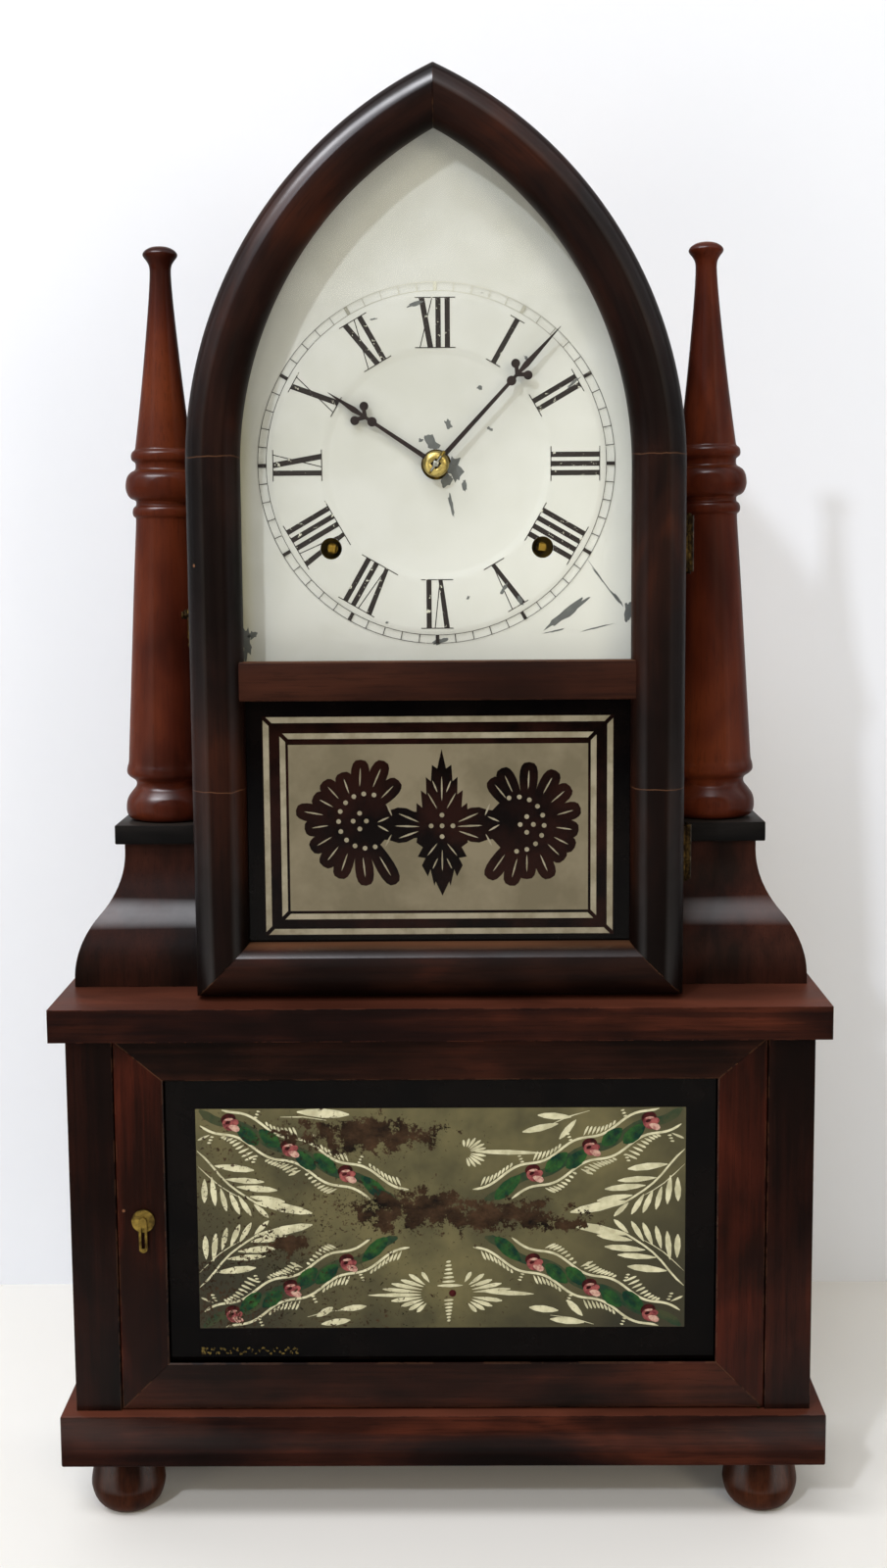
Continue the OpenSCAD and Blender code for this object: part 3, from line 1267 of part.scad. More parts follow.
// Steel clip round the tip of the longest leaf, with two ears and the pin of the link
module shackle() {
    half_l = 6;
    ear_y = link_t / 2 + 0.8;
    difference() {
        box_at(tip_x - half_l, tip_x + half_l, leaf_y - leaf_w / 2 - 2, leaf_y + leaf_w / 2 + 2,
            tip_leaf_z - leaf_t - 4.5, tip_leaf_z + 5);
        difference() {
            rod_y([0, bend_z], leaf_y - leaf_w / 2 - 0.3, leaf_y + leaf_w / 2 + 0.3,
                leaf_bend_r + leaf_t + 0.3, fn_big);
            rod_y([0, bend_z], leaf_y - leaf_w, leaf_y + leaf_w, leaf_bend_r - 0.3, fn_big);
        }
        box_at(tip_x - half_l - over, tip_x + half_l + over, leaf_y - ear_y, leaf_y + ear_y,
            tip_leaf_z - leaf_t - 12, tip_leaf_z - leaf_t - 2.2);
    }
    for (y = [leaf_y - ear_y - ear_t, leaf_y + ear_y])
        slab_y(y, y + ear_t) {
            translate(tip_pin) circle(r = 4.4, $fn = fn_small);
            translate([tip_pin[0] - 4.4, tip_pin[1]]) square([8.8, 5.6]);
        }
    rod_y(tip_pin, leaf_y - ear_y - ear_t, leaf_y + ear_y + ear_t, link_pin_r);
}

module time_shackle() color("#5c5c60") shackle();

module strike_shackle() color("#5c5c60") mirror([1, 0, 0]) shackle();

// Cords from under the pulleys up through the waist board and over the winding drums
module drive_cords() color("#b9a67c") both_sides() {
    translate([cord_x, cord_y, shaft_z])
        cylinder(h = time_wind[1] - shaft_z, r = cord_r, $fn = fn_small);
    translate([shaft_x, cord_y, shaft_z]) rotate([90, 180, 0]) rotate_extrude(angle = 215, $fn = fn_mid)
        translate([pulley_r + cord_gap + cord_r, 0]) circle(r = cord_r, $fn = fn_small);
    translate([wind_x, cord_y, time_wind[1]]) rotate([90, 0, 0]) rotate_extrude(angle = 250, $fn = fn_mid)
        translate([drum_r + cord_gap + cord_r, 0]) circle(r = cord_r, $fn = fn_small);
}

feet();
plinth();
base_sides();
base_backboard();
waist_board();
shoulders();
corner_blocks();
finials();
lancet_case();
lancet_backboard();
case_blocks();
dial();
case_brasses();
lancet_door_left_moulding();
lancet_door_right_moulding();
lancet_door_bottom_rail();
lancet_door_cross_bar();
dial_glass();
stencilled_glass();
lancet_door_brasses();
lancet_hook();
base_door_stiles();
base_door_rails();
painted_glass();
base_door_latch();
front_plate();
back_plate();
plate_pillars();
minute_arbor();
minute_hand();
hand_collet();
minute_wheel();
hour_wheel();
hour_hand();
time_drum();
time_great_wheel();
time_second_arbor();
centre_wheel();
third_arbor();
escape_wheel();
verge();
pendulum_rod();
pendulum_bob();
strike_drum();
strike_great_wheel();
strike_second_arbor();
strike_third_arbor();
fly();
hammer();
gong();
leaf_spring();
spring_saddle();
time_shaft();
strike_shaft();
shaft_brackets();
time_link();
strike_link();
time_shackle();
strike_shackle();
drive_cords();
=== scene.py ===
import json
from math import acos, atan2, cos, degrees, hypot, pi, radians, sin, sqrt

import bmesh
import bpy
from mathutils import Matrix, Vector, noise


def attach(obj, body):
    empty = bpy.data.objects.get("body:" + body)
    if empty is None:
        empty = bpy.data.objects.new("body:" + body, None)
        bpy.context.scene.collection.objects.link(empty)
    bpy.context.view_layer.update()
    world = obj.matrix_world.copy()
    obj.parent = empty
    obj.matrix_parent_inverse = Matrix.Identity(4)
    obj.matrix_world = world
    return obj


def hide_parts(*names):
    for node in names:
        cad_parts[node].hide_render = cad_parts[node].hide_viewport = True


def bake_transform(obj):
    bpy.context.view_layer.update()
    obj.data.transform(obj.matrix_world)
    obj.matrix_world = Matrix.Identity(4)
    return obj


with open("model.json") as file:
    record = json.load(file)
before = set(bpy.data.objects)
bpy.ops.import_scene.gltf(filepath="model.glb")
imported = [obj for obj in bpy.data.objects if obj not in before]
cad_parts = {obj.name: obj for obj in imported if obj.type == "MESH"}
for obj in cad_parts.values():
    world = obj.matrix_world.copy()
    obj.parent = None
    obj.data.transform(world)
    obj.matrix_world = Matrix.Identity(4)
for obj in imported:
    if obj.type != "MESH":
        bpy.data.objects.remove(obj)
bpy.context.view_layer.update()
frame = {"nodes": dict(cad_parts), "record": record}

MM = 0.001
nodes = frame["nodes"]

# Places of the clock's parts in millimetres, as in the part's source
ARCH_W, ARCH_R, FRAME_W, FRAME_BACK, HALF_ROUND_R = 222.0, 191.0, 24.0, 9.5, 12
ARCH_OFF = ARCH_R - ARCH_W / 2
DECK_Z, DOOR_Z, SPRING_Z, CENTRE_Z = 247.3, 248.8, 486.6, 489.0
DOOR_BACK_Y, INNER_W = -27.5, 87.0
PANE_Y, BASE_PANE_Y, TABLET_Z = -34.0, -48.5, 146.4
BAR_Z, BAR_H, BAR_T = 384.0, 17.5, 15.5
REBATE_W, REBATE_D, MITRE_GAP = 4.0, 6.5, 0.06
DIAL_Y, DIAL_T, DIAL_GAP, RING_RAISE, RING_OUT, RING_IN = -18.5, 1.0, 9.4, 1.0, 79.4, 54.0
WINDER_X, WINDER_Z, WINDER_R = 48.0, CENTRE_Z - 37.4, 4.9
BOARD_HALF, FRONT_Y, PLINTH_LOW_Z, PLINTH_Z = 176.0, -59.0, 31.6, 56.1
BASE_Y, BASE_T = -52.5, 16.0
BLOCK_IN_X, BLOCK_OUT_X, BLOCK_BACK_Y, BLOCK_Z, BLOCK_TOP_Z = 110.0, 154.5, 55.0, 312.4, 321.6


# Camera at the photo's viewpoint, level with the dial and looking a little down
def aim_camera():
    yaw, pitch, roll = radians(-0.564), radians(7.107), radians(-0.418)
    ahead = Vector((sin(yaw) * cos(pitch), cos(yaw) * cos(pitch), -sin(pitch)))
    level = Vector((cos(yaw), -sin(yaw), 0))
    up = level.cross(ahead)
    side = level * cos(roll) + up * sin(roll)
    top = up * cos(roll) - level * sin(roll)
    lens = bpy.data.cameras.new("photo_camera")
    lens.lens, lens.sensor_width, lens.sensor_fit = 45, 36, "AUTO"
    camera = bpy.data.objects.new("photo_camera", lens)
    bpy.context.scene.collection.objects.link(camera)
    turn = Matrix((side, top, -ahead)).transposed().to_4x4()
    camera.matrix_world = Matrix.Translation((0.01108, -0.91585, 0.45530)) @ turn
    bpy.context.scene.camera = camera


aim_camera()
bpy.context.scene.view_settings.view_transform = "Standard"


# Colours and nodes
def linear(hex_colour):
    parts = [int(hex_colour[i:i + 2], 16) / 255 for i in (1, 3, 5)]
    return [c / 12.92 if c <= 0.04045 else ((c + 0.055) / 1.055) ** 2.4 for c in parts] + [1.0]


# Adds a node with its settings and links. A node that is given as an input is linked by its first output.
def add(tree, kind, inputs=None, stops=(), **settings):
    made = tree.nodes.new("ShaderNode" + kind)
    for key, value in settings.items():
        setattr(made, key, value)
    for key, value in (inputs or {}).items():
        value = value.outputs[0] if isinstance(value, bpy.types.Node) else value
        if isinstance(value, bpy.types.NodeSocket):
            tree.links.new(value, made.inputs[key])
        else:
            made.inputs[key].default_value = linear(value) if isinstance(value, str) else value
    if stops:
        ramp = made.color_ramp.elements
        while len(ramp) < len(stops):
            ramp.new(0.5)
        for stop, (at, colour) in zip(ramp, stops):
            stop.position, stop.color = at, linear(colour)
    return made


def new_finish(name):
    finish = bpy.data.materials.new(name)
    finish.use_nodes = True
    tree = finish.node_tree
    tree.nodes.clear()
    return finish, tree, add(tree, "TexCoord").outputs["Object"]


# Coordinates that follow the bent moulding: across it, through it, and along it from the spring line
def along_arch(tree, place):
    x, y, z = add(tree, "SeparateXYZ", {0: place}).outputs
    out = add(tree, "Math", {
        0: add(tree, "Math", {0: x}, operation="ABSOLUTE"), 1: ARCH_OFF * MM}, operation="ADD")
    rise = add(tree, "Math", {0: z, 1: SPRING_Z * MM}, operation="SUBTRACT")
    over = add(tree, "Math", {0: rise, 1: 0.0}, operation="MAXIMUM")
    under = add(tree, "Math", {0: rise, 1: 0.0}, operation="MINIMUM")
    across = add(tree, "VectorMath", {0: add(tree, "CombineXYZ", {0: out, 2: over})}, operation="LENGTH")
    turn = add(tree, "Math", {
        0: add(tree, "Math", {0: over, 1: out}, operation="ARCTAN2"), 1: (ARCH_R - HALF_ROUND_R) * MM
    }, operation="MULTIPLY")
    depth = add(tree, "Math", {
        0: y,
        1: add(tree, "Math", {0: add(tree, "Math", {0: x}, operation="SIGN"), 1: 0.3}, operation="MULTIPLY")
    }, operation="ADD")
    return add(tree, "CombineXYZ", {
        0: across.outputs["Value"], 1: depth, 2: add(tree, "Math", {0: turn, 1: under}, operation="ADD")})


# Share of the polish that shines: at a slant, hardly at all face on, and dulled by dust again towards
# the outline. It is brightest where the wood looks up, and wiped unevenly.
def polish(tree, place, facing, shift):
    slant = add(tree, "LayerWeight", {"Blend": 0.5}).outputs["Facing"]
    rising = add(tree, "Math", {
        0: add(tree, "Math", {0: slant, 1: 15.0}, operation="MULTIPLY"), 1: 1.05
    }, operation="SUBTRACT", use_clamp=True)
    falling = add(tree, "Math", {
        0: add(tree, "Math", {0: 0.48, 1: slant}, operation="SUBTRACT"), 1: 4.5
    }, operation="MULTIPLY", use_clamp=True)
    upward = add(tree, "Math", {
        0: add(tree, "Math", {0: facing, 1: 1.9}, operation="MULTIPLY"), 1: 0.2}, operation="ADD", use_clamp=True)
    wiped = add(tree, "MapRange", {
        0: add(tree, "TexNoise", {
            "Vector": add(tree, "Mapping", {
                "Vector": place, "Scale": (24, 24, 24), "Location": (shift, 0, shift)}), "Scale": 1.0,
            "Detail": 4.0, "Roughness": 0.65}), 1: 0.36, 2: 0.56, 3: 0.75})
    return add(tree, "Math", {
        0: add(tree, "Math", {0: rising, 1: falling}, operation="MULTIPLY"),
        1: add(tree, "Math", {0: upward, 1: wiped}, operation="MULTIPLY")}, operation="MULTIPLY")


# Old shellac on veneer or turned wood. The eye gets fine dark pores along the grain, broad red and
# black clouds in the colour, a soft sheen with a slightly rippled highlight, and edges rubbed pale.
def wood(name, grain, shades, rough, coat, shift, worn="#7d563c", cloudy=0.72, haze=0.26, painted_shade_below=None,
         seams=()):
    finish, tree, place = new_finish(name)
    up = add(tree, "SeparateXYZ", {0: place}).outputs[2]
    if grain == "arched":
        place = along_arch(tree, place)
    # Streaks 3 mm wide and 140 mm long, pores 0.7 mm wide, drawn coarse enough to show
    along = {"x": 0, "y": 1}.get(grain, 2)
    streak_scale, pore_scale, cloud_scale = [330.0] * 3, [1500.0] * 3, [26.0] * 3
    streak_scale[along], pore_scale[along], cloud_scale[along] = 7.0, 70.0, 11.0
    streaks = add(tree, "TexNoise", {
        "Vector": add(tree, "Mapping", {
            "Vector": place, "Scale": streak_scale, "Location": (shift, shift * 1.7, shift * 0.6)}),
        "Scale": 1.0, "Detail": 6.0, "Roughness": 0.62, "Distortion": 0.35})
    clouds = add(tree, "TexNoise", {
        "Vector": add(tree, "Mapping", {
            "Vector": place, "Scale": cloud_scale, "Location": (shift * 2.1, shift, shift)}), "Scale": 1.0,
        "Detail": 3.0, "Roughness": 0.5, "Distortion": 0.4})
    pores = add(tree, "TexNoise", {
        "Vector": add(tree, "Mapping", {"Vector": place, "Scale": pore_scale, "Location": (shift, 0, 0)}),
        "Scale": 1.0, "Detail": 2.0, "Roughness": 0.5})
    tone = add(tree, "Math", {
        0: add(tree, "Math", {0: streaks, 1: 1 - cloudy}, operation="MULTIPLY"),
        1: add(tree, "Math", {0: clouds, 1: cloudy}, operation="MULTIPLY")}, operation="ADD")
    colour = add(tree, "ValToRGB", {0: tone}, stops=list(zip((0.34, 0.46, 0.56, 0.7), shades)))
    colour = add(tree, "Mix", {
        0: add(tree, "Math", {
            0: add(tree, "Math", {0: pores, 1: 0.4}, operation="LESS_THAN"), 1: 0.3}, operation="MULTIPLY"),
        6: colour, 7: shades[0]}, data_type="RGBA").outputs[2]
    # Painted shade: below the given height the colour goes darker towards the bottom, standing in for the light
    # falling off there
    if painted_shade_below:
        painted_shade_share = add(tree, "Math", {
            0: add(tree, "Math", {0: painted_shade_below, 1: up}, operation="SUBTRACT"), 1: 6.0
        }, operation="MULTIPLY", use_clamp=True)
        colour = add(tree, "Mix", {
            0: add(tree, "Math", {0: painted_shade_share, 1: 0.8}, operation="MULTIPLY"), 6: colour, 7: shades[0]
        }, data_type="RGBA").outputs[2]
    # Thin seams across the veneer, 0.5 mm wide
    for height in seams:
        wavy = add(tree, "Math", {
            0: up,
            1: add(tree, "Math", {
                0: add(tree, "TexNoise", {
                    "Vector": add(tree, "Mapping", {"Vector": place, "Scale": (60, 60, 60)}), "Scale": 1.0,
                    "Detail": 4.0, "Roughness": 0.6}), 1: 0.003}, operation="MULTIPLY")}, operation="ADD")
        seam = add(tree, "Math", {0: wavy, 1: height + 0.0015, 2: 0.00025}, operation="COMPARE")
        colour = add(tree, "Mix", {
            0: add(tree, "Math", {0: seam, 1: 0.25}, operation="MULTIPLY"), 6: colour, 7: worn
        }, data_type="RGBA").outputs[2]
    # Pale knocks 1 to 2 mm across
    knocks = add(tree, "TexVoronoi", {"Vector": place, "Scale": 42.0})
    near = add(tree, "Math", {0: knocks.outputs["Distance"], 1: 0.035}, operation="LESS_THAN")
    some = add(tree, "Math", {
        0: add(tree, "SeparateColor", {0: knocks.outputs["Color"]}), 1: 0.72}, operation="GREATER_THAN")
    colour = add(tree, "Mix", {
        0: add(tree, "Math", {
            0: add(tree, "Math", {0: near, 1: some}, operation="MULTIPLY"), 1: 0.6}, operation="MULTIPLY"),
        6: colour, 7: worn}, data_type="RGBA").outputs[2]
    # Edges rubbed through where the normal rounded over 0.7 mm leaves the flat one
    soft = add(tree, "Bevel", {"Radius": 0.7 * MM}, samples=4)
    flat = add(tree, "NewGeometry").outputs["Normal"]
    same = add(tree, "VectorMath", {0: soft, 1: flat}, operation="DOT_PRODUCT").outputs["Value"]
    rubbed = add(tree, "Math", {
        0: add(tree, "Math", {0: 0.985, 1: same}, operation="SUBTRACT", use_clamp=True), 1: 5.0
    }, operation="MULTIPLY", use_clamp=True)
    patchy = add(tree, "Math", {
        0: add(tree, "TexNoise", {
            "Vector": add(tree, "Mapping", {"Vector": place, "Scale": (90, 90, 90)}), "Scale": 1.0,
            "Detail": 4.0, "Roughness": 0.7}), 1: 0.5}, operation="GREATER_THAN")
    colour = add(tree, "Mix", {
        0: add(tree, "Math", {
            0: add(tree, "Math", {0: rubbed, 1: patchy}, operation="MULTIPLY"), 1: 0.5}, operation="MULTIPLY"),
        6: colour, 7: worn}, data_type="RGBA").outputs[2]
    # Tops are paler, with dust and wear on them
    facing = add(tree, "SeparateXYZ", {0: flat}).outputs[2]
    dusty = add(tree, "Math", {
        0: add(tree, "Math", {0: facing, 1: 0.8}, operation="SUBTRACT", use_clamp=True),
        1: add(tree, "Math", {0: clouds, 1: 3.6}, operation="MULTIPLY")}, operation="MULTIPLY")
    ripple = add(tree, "TexNoise", {
        "Vector": add(tree, "Mapping", {"Vector": place, "Scale": (420, 420, 420)}), "Scale": 1.0,
        "Detail": 3.0, "Roughness": 0.6})
    height = add(tree, "Math", {
        0: add(tree, "Math", {0: ripple, 1: 0.7}, operation="MULTIPLY"),
        1: add(tree, "Math", {0: pores, 1: 0.3}, operation="MULTIPLY")}, operation="ADD")
    surface = add(tree, "BsdfPrincipled", {
        "Base Color": add(tree, "Mix", {0: dusty, 6: colour, 7: worn}, data_type="RGBA").outputs[2],
        "Normal": add(tree, "Bump", {"Height": height, "Strength": 0.16, "Distance": 0.0006, "Normal": soft}),
        "Roughness": add(tree, "Math", {
            0: add(tree, "Math", {0: clouds, 1: 0.22}, operation="MULTIPLY"), 1: rough - 0.11}, operation="ADD"),
        "Specular IOR Level": 0.035,
        "Coat Weight": add(tree, "Math", {0: polish(tree, place, facing, shift), 1: coat}, operation="MULTIPLY"),
        "Coat Roughness": haze, "Coat IOR": 2.0})
    add(tree, "OutputMaterial", {"Surface": surface})
    return finish


# Worked metal: the eye gets an even metal sheen broken by darker tarnish in patches and hair scratches
def metal(name, bright, dull, rough, tarnish=0.45, patch_mm=9.0, shine=1.0):
    finish, tree, place = new_finish(name)
    patches = add(tree, "TexNoise", {
        "Vector": add(tree, "Mapping", {"Vector": place, "Scale": (1000 / patch_mm,) * 3}), "Scale": 1.0,
        "Detail": 5.0, "Roughness": 0.65, "Distortion": 0.5})
    hairs = add(tree, "TexNoise", {
        "Vector": add(tree, "Mapping", {"Vector": place, "Scale": (2400, 2400, 260)}), "Scale": 1.0,
        "Detail": 2.0, "Roughness": 0.5})
    share = add(tree, "MapRange", {0: patches, 1: 0.62 - tarnish * 0.4, 2: 0.78 - tarnish * 0.3})
    soft = add(tree, "Bevel", {"Radius": 0.2 * MM}, samples=4)
    gloss = add(tree, "Math", {
        0: add(tree, "Math", {
            0: add(tree, "Math", {0: share, 1: 0.2}, operation="MULTIPLY"),
            1: add(tree, "Math", {0: hairs, 1: 0.1}, operation="MULTIPLY")}, operation="ADD"), 1: rough - 0.05
    }, operation="ADD")
    surface = add(tree, "BsdfPrincipled", {
        "Base Color": add(tree, "Mix", {0: share, 6: bright, 7: dull}, data_type="RGBA").outputs[2],
        "Roughness": gloss,
        "Normal": add(tree, "Bump", {"Height": hairs, "Strength": 0.12, "Distance": 0.0003, "Normal": soft}),
        "Metallic": shine})
    add(tree, "OutputMaterial", {"Surface": surface})
    return finish


# Name, grain, shades from dark to light, roughness, coat and place in the grain
moulding_wood = wood("shellacked_mahogany_moulding", "arched", ("#080403", "#120907", "#20100b", "#3d1c0f"),
                     0.42, 1.0, 3.1, cloudy=0.88, haze=0.3, painted_shade_below=0.42, seams=(0.344, 0.492))
rail_wood = wood("shellacked_mahogany_rail", "x", ("#080403", "#110806", "#1e0f0a", "#36180f"),
                 0.42, 1.0, 1.3, cloudy=0.85, haze=0.24)
bar_wood = wood("veneered_cross_bar", "x", ("#130906", "#1f0f0a", "#2c160e", "#3c2015"), 0.46, 0.6, 5.7)
stile_wood = wood("mahogany_veneer_upright", "z", ("#0b0403", "#190905", "#2f1109", "#4b1e11"), 0.42, 0.6, 2.3)
frame_wood = wood("mahogany_veneer_level", "x", ("#080403", "#120805", "#22100a", "#3c1c11"), 0.42, 0.6, 7.9)
board_wood = wood("mahogany_board", "x", ("#090403", "#150806", "#28110a", "#4a2215"), 0.4, 0.6, 4.4,
                  worn="#7a4432")
side_wood = wood("mahogany_side", "z", ("#070302", "#100604", "#1f0c07", "#38170d"), 0.42, 0.6, 9.2)
shoulder_wood = wood("mahogany_ogee", "z", ("#0c0605", "#180c08", "#28130d", "#3c1f16"), 0.38, 1.0, 6.6,
                     cloudy=0.85, haze=0.44)
foot_wood = wood("turned_foot", "z", ("#0f0704", "#1f0e08", "#34190d", "#4f2a18"), 0.38, 0.7, 8.3)
finial_wood = wood("turned_maple_stained_red", "z", ("#2a0f08", "#3e180d", "#502212", "#642e17"), 0.38, 0.6, 0.7,
                   worn="#8a5a3c", cloudy=0.88, haze=0.3)
ebony_wood = wood("ebonised_block", "x", ("#060505", "#0b0a0a", "#141211", "#211e1c"), 0.42, 0.4, 1.9,
                  worn="#443c36")
pine_wood = wood("bare_pine", "z", ("#7a5834", "#94703f", "#a98552", "#bb9a68"), 0.62, 0.0, 5.1,
                 worn="#c2a679", cloudy=0.4)
# Name, bright and dull colour, roughness, tarnish and size of its patches
old_brass = metal("tarnished_brass", "#8a7438", "#3e3119", 0.38, 0.6)
hinge_brass = metal("blackened_brass", "#4d3c1e", "#1d150d", 0.5, 0.7, 4.0)
collet_brass = metal("pale_turned_brass", "#bfa968", "#7d6a38", 0.3, 0.3, 3.0)
movement_brass = metal("rolled_sheet_brass", "#a8873a", "#6d5424", 0.32, 0.4, 14.0)
bright_brass = metal("polished_turned_brass", "#c79a34", "#7e5f22", 0.2, 0.2, 5.0)
steel = metal("drawn_steel", "#9a9a96", "#5d5852", 0.32, 0.35)
hand_steel = metal("blackened_sheet_steel", "#2a1f20", "#150f10", 0.38, 0.4, 7.0, shine=0.6)
gong_steel = metal("blued_gong_wire", "#5a5d66", "#2f2c2d", 0.35, 0.4)
spring_steel = metal("forged_spring_steel", "#55565a", "#33291f", 0.42, 0.5, 16.0)
iron = metal("cast_iron", "#4a494b", "#38281e", 0.55, 0.5, 12.0)


# Laid cotton cord: the eye gets a matt tan surface with a slanting twist
def laid_cord():
    finish, tree, place = new_finish("laid_cotton_cord")
    twist = add(tree, "Mapping", {"Vector": place, "Rotation": (0.0, 0.7, 0.0)})
    lay = add(tree, "TexWave", {"Vector": twist, "Scale": 220.0, "Distortion": 0.6}).outputs["Fac"]
    surface = add(tree, "BsdfPrincipled", {
        "Base Color": add(tree, "Mix", {0: lay, 6: "#8c7750", 7: "#c2ae84"}, data_type="RGBA").outputs[2],
        "Normal": add(tree, "Bump", {"Height": lay, "Strength": 0.5, "Distance": 0.0003}), "Roughness": 0.9})
    add(tree, "OutputMaterial", {"Surface": surface})
    return finish


# Old window glass over the dial: the eye sees the dial through it, with a faint mirror at a slant
def clear_glass():
    finish, tree, place = new_finish("old_window_glass")
    waves = add(tree, "Bump", {
        "Height": add(tree, "TexNoise", {
            "Vector": add(tree, "Mapping", {"Vector": place, "Scale": (22, 22, 22)}), "Scale": 1.0,
            "Detail": 2.0, "Roughness": 0.4}), "Strength": 0.03, "Distance": 0.001})
    through = add(tree, "BsdfTransparent", {"Color": "#fbfcfa"})
    mirror = add(tree, "BsdfAnisotropic", {"Color": "#ffffff", "Roughness": 0.03, "Normal": waves})
    share = add(tree, "Math", {0: add(tree, "Fresnel", {"IOR": 1.45}), 1: 0.15}, operation="MULTIPLY")
    surface = add(tree, "MixShader", {0: share, 1: through, 2: mirror})
    add(tree, "OutputMaterial", {"Surface": surface})
    return finish


# Places where the base glass has lost its paint, as centre and half size in millimetres
LOSSES = ((-34.0, 186.0, 34.0, 8.0), (-10.0, 151.0, 34.0, 9.0), (26.0, 148.0, 34.0, 8.0),
          (-70.0, 134.0, 12.0, 4.0), (60.0, 143.0, 12.0, 2.5))


# Share of bare glass: ragged patches with islands of paint left in them, and fine flakes around them
def flaked(tree, place):
    edge = add(tree, "TexNoise", {
        "Vector": add(tree, "Mapping", {"Vector": place, "Scale": (150, 150, 150)}), "Scale": 1.0,
        "Detail": 8.0, "Roughness": 0.78})
    total = None
    for x, z, half_x, half_z in LOSSES:
        patch = add(tree, "Mapping", {
            "Vector": place, "Location": (-x / half_x, 0, -z / half_z),
            "Scale": (1000 / half_x, 0, 1000 / half_z)})
        away = add(tree, "VectorMath", {0: patch.outputs[0]}, operation="LENGTH").outputs["Value"]
        total = away if total is None else add(tree, "Math", {0: total, 1: away}, operation="MINIMUM")
    worn = add(tree, "Math", {
        0: add(tree, "Math", {0: 1.0, 1: total}, operation="SUBTRACT"),
        1: add(tree, "Math", {
            0: add(tree, "Math", {0: edge, 1: 0.5}, operation="SUBTRACT"), 1: 5.4}, operation="MULTIPLY")
    }, operation="ADD")
    gone = add(tree, "Math", {
        0: add(tree, "Math", {0: worn, 1: 0.1}, operation="SUBTRACT"), 1: 14.0
    }, operation="MULTIPLY", use_clamp=True)
    # Flakes 1 mm and smaller, thick round the patches and towards the lower left corner
    x, _, z = add(tree, "SeparateXYZ", {0: place}).outputs
    lean = add(tree, "Math", {
        0: add(tree, "Math", {
            0: x, 1: add(tree, "Math", {0: z, 1: TABLET_Z * MM}, operation="SUBTRACT")}, operation="ADD"),
        1: -0.9}, operation="MULTIPLY")
    close = add(tree, "Math", {
        0: add(tree, "Math", {0: 2.2, 1: total}, operation="SUBTRACT", use_clamp=True), 1: 0.05
    }, operation="MULTIPLY")
    flakes = add(tree, "Math", {
        0: add(tree, "TexNoise", {
            "Vector": add(tree, "Mapping", {"Vector": place, "Scale": (560, 560, 560)}), "Scale": 1.0,
            "Detail": 3.0, "Roughness": 0.6, "Distortion": 0.8}),
        1: add(tree, "Math", {0: lean, 1: close}, operation="ADD")}, operation="ADD")
    return add(tree, "Math", {
        0: gone,
        1: add(tree, "Math", {
            0: add(tree, "Math", {0: flakes, 1: 0.66}, operation="SUBTRACT"), 1: 16.0
        }, operation="MULTIPLY", use_clamp=True)}, operation="MAXIMUM")


# Reverse painting on glass: the eye gets a flat, even gloss over oil colours, brown where they flaked
def glass_paint(name, colour, second, patch_mm=14.0, flaking=True, rough=0.08, end_and_bottom_colour=None):
    finish, tree, place = new_finish(name)
    shade = add(tree, "Mix", {
        0: add(tree, "MapRange", {
            0: add(tree, "TexNoise", {
                "Vector": add(tree, "Mapping", {"Vector": place, "Scale": (1000 / patch_mm,) * 3}),
                "Scale": 1.0, "Detail": 4.0, "Roughness": 0.6}), 1: 0.4, 2: 0.62}), 6: colour, 7: second
    }, data_type="RGBA").outputs[2]
    if end_and_bottom_colour:
        # Darker towards both ends and the bottom
        x, _, z = add(tree, "SeparateXYZ", {0: place}).outputs
        share = add(tree, "Math", {
            0: add(tree, "Math", {
                0: add(tree, "Math", {0: 0.105, 1: z}, operation="SUBTRACT"), 1: 12.0}, operation="MULTIPLY"),
            1: add(tree, "Math", {
                0: add(tree, "Math", {0: x}, operation="ABSOLUTE"), 1: 11.0}, operation="MULTIPLY")
        }, operation="ADD", use_clamp=True)
        shade = add(tree, "Mix", {
            0: add(tree, "Math", {0: share, 1: 0.85}, operation="MULTIPLY"), 6: shade, 7: end_and_bottom_colour
        }, data_type="RGBA").outputs[2]
    if flaking:
        mottled = add(tree, "MapRange", {
            0: add(tree, "TexNoise", {
                "Vector": add(tree, "Mapping", {"Vector": place, "Scale": (75, 75, 110)}), "Scale": 1.0,
                "Detail": 6.0, "Roughness": 0.7}), 1: 0.36, 2: 0.66})
        shade = add(tree, "Mix", {
            0: flaked(tree, place), 6: shade,
            7: add(tree, "Mix", {0: mottled, 6: "#100b08", 7: "#3c2b1d"}, data_type="RGBA").outputs[2]
        }, data_type="RGBA").outputs[2]
    surface = add(tree, "BsdfPrincipled", {"Base Color": shade, "Roughness": rough, "Specular IOR Level": 0.05})
    add(tree, "OutputMaterial", {"Surface": surface})
    return finish
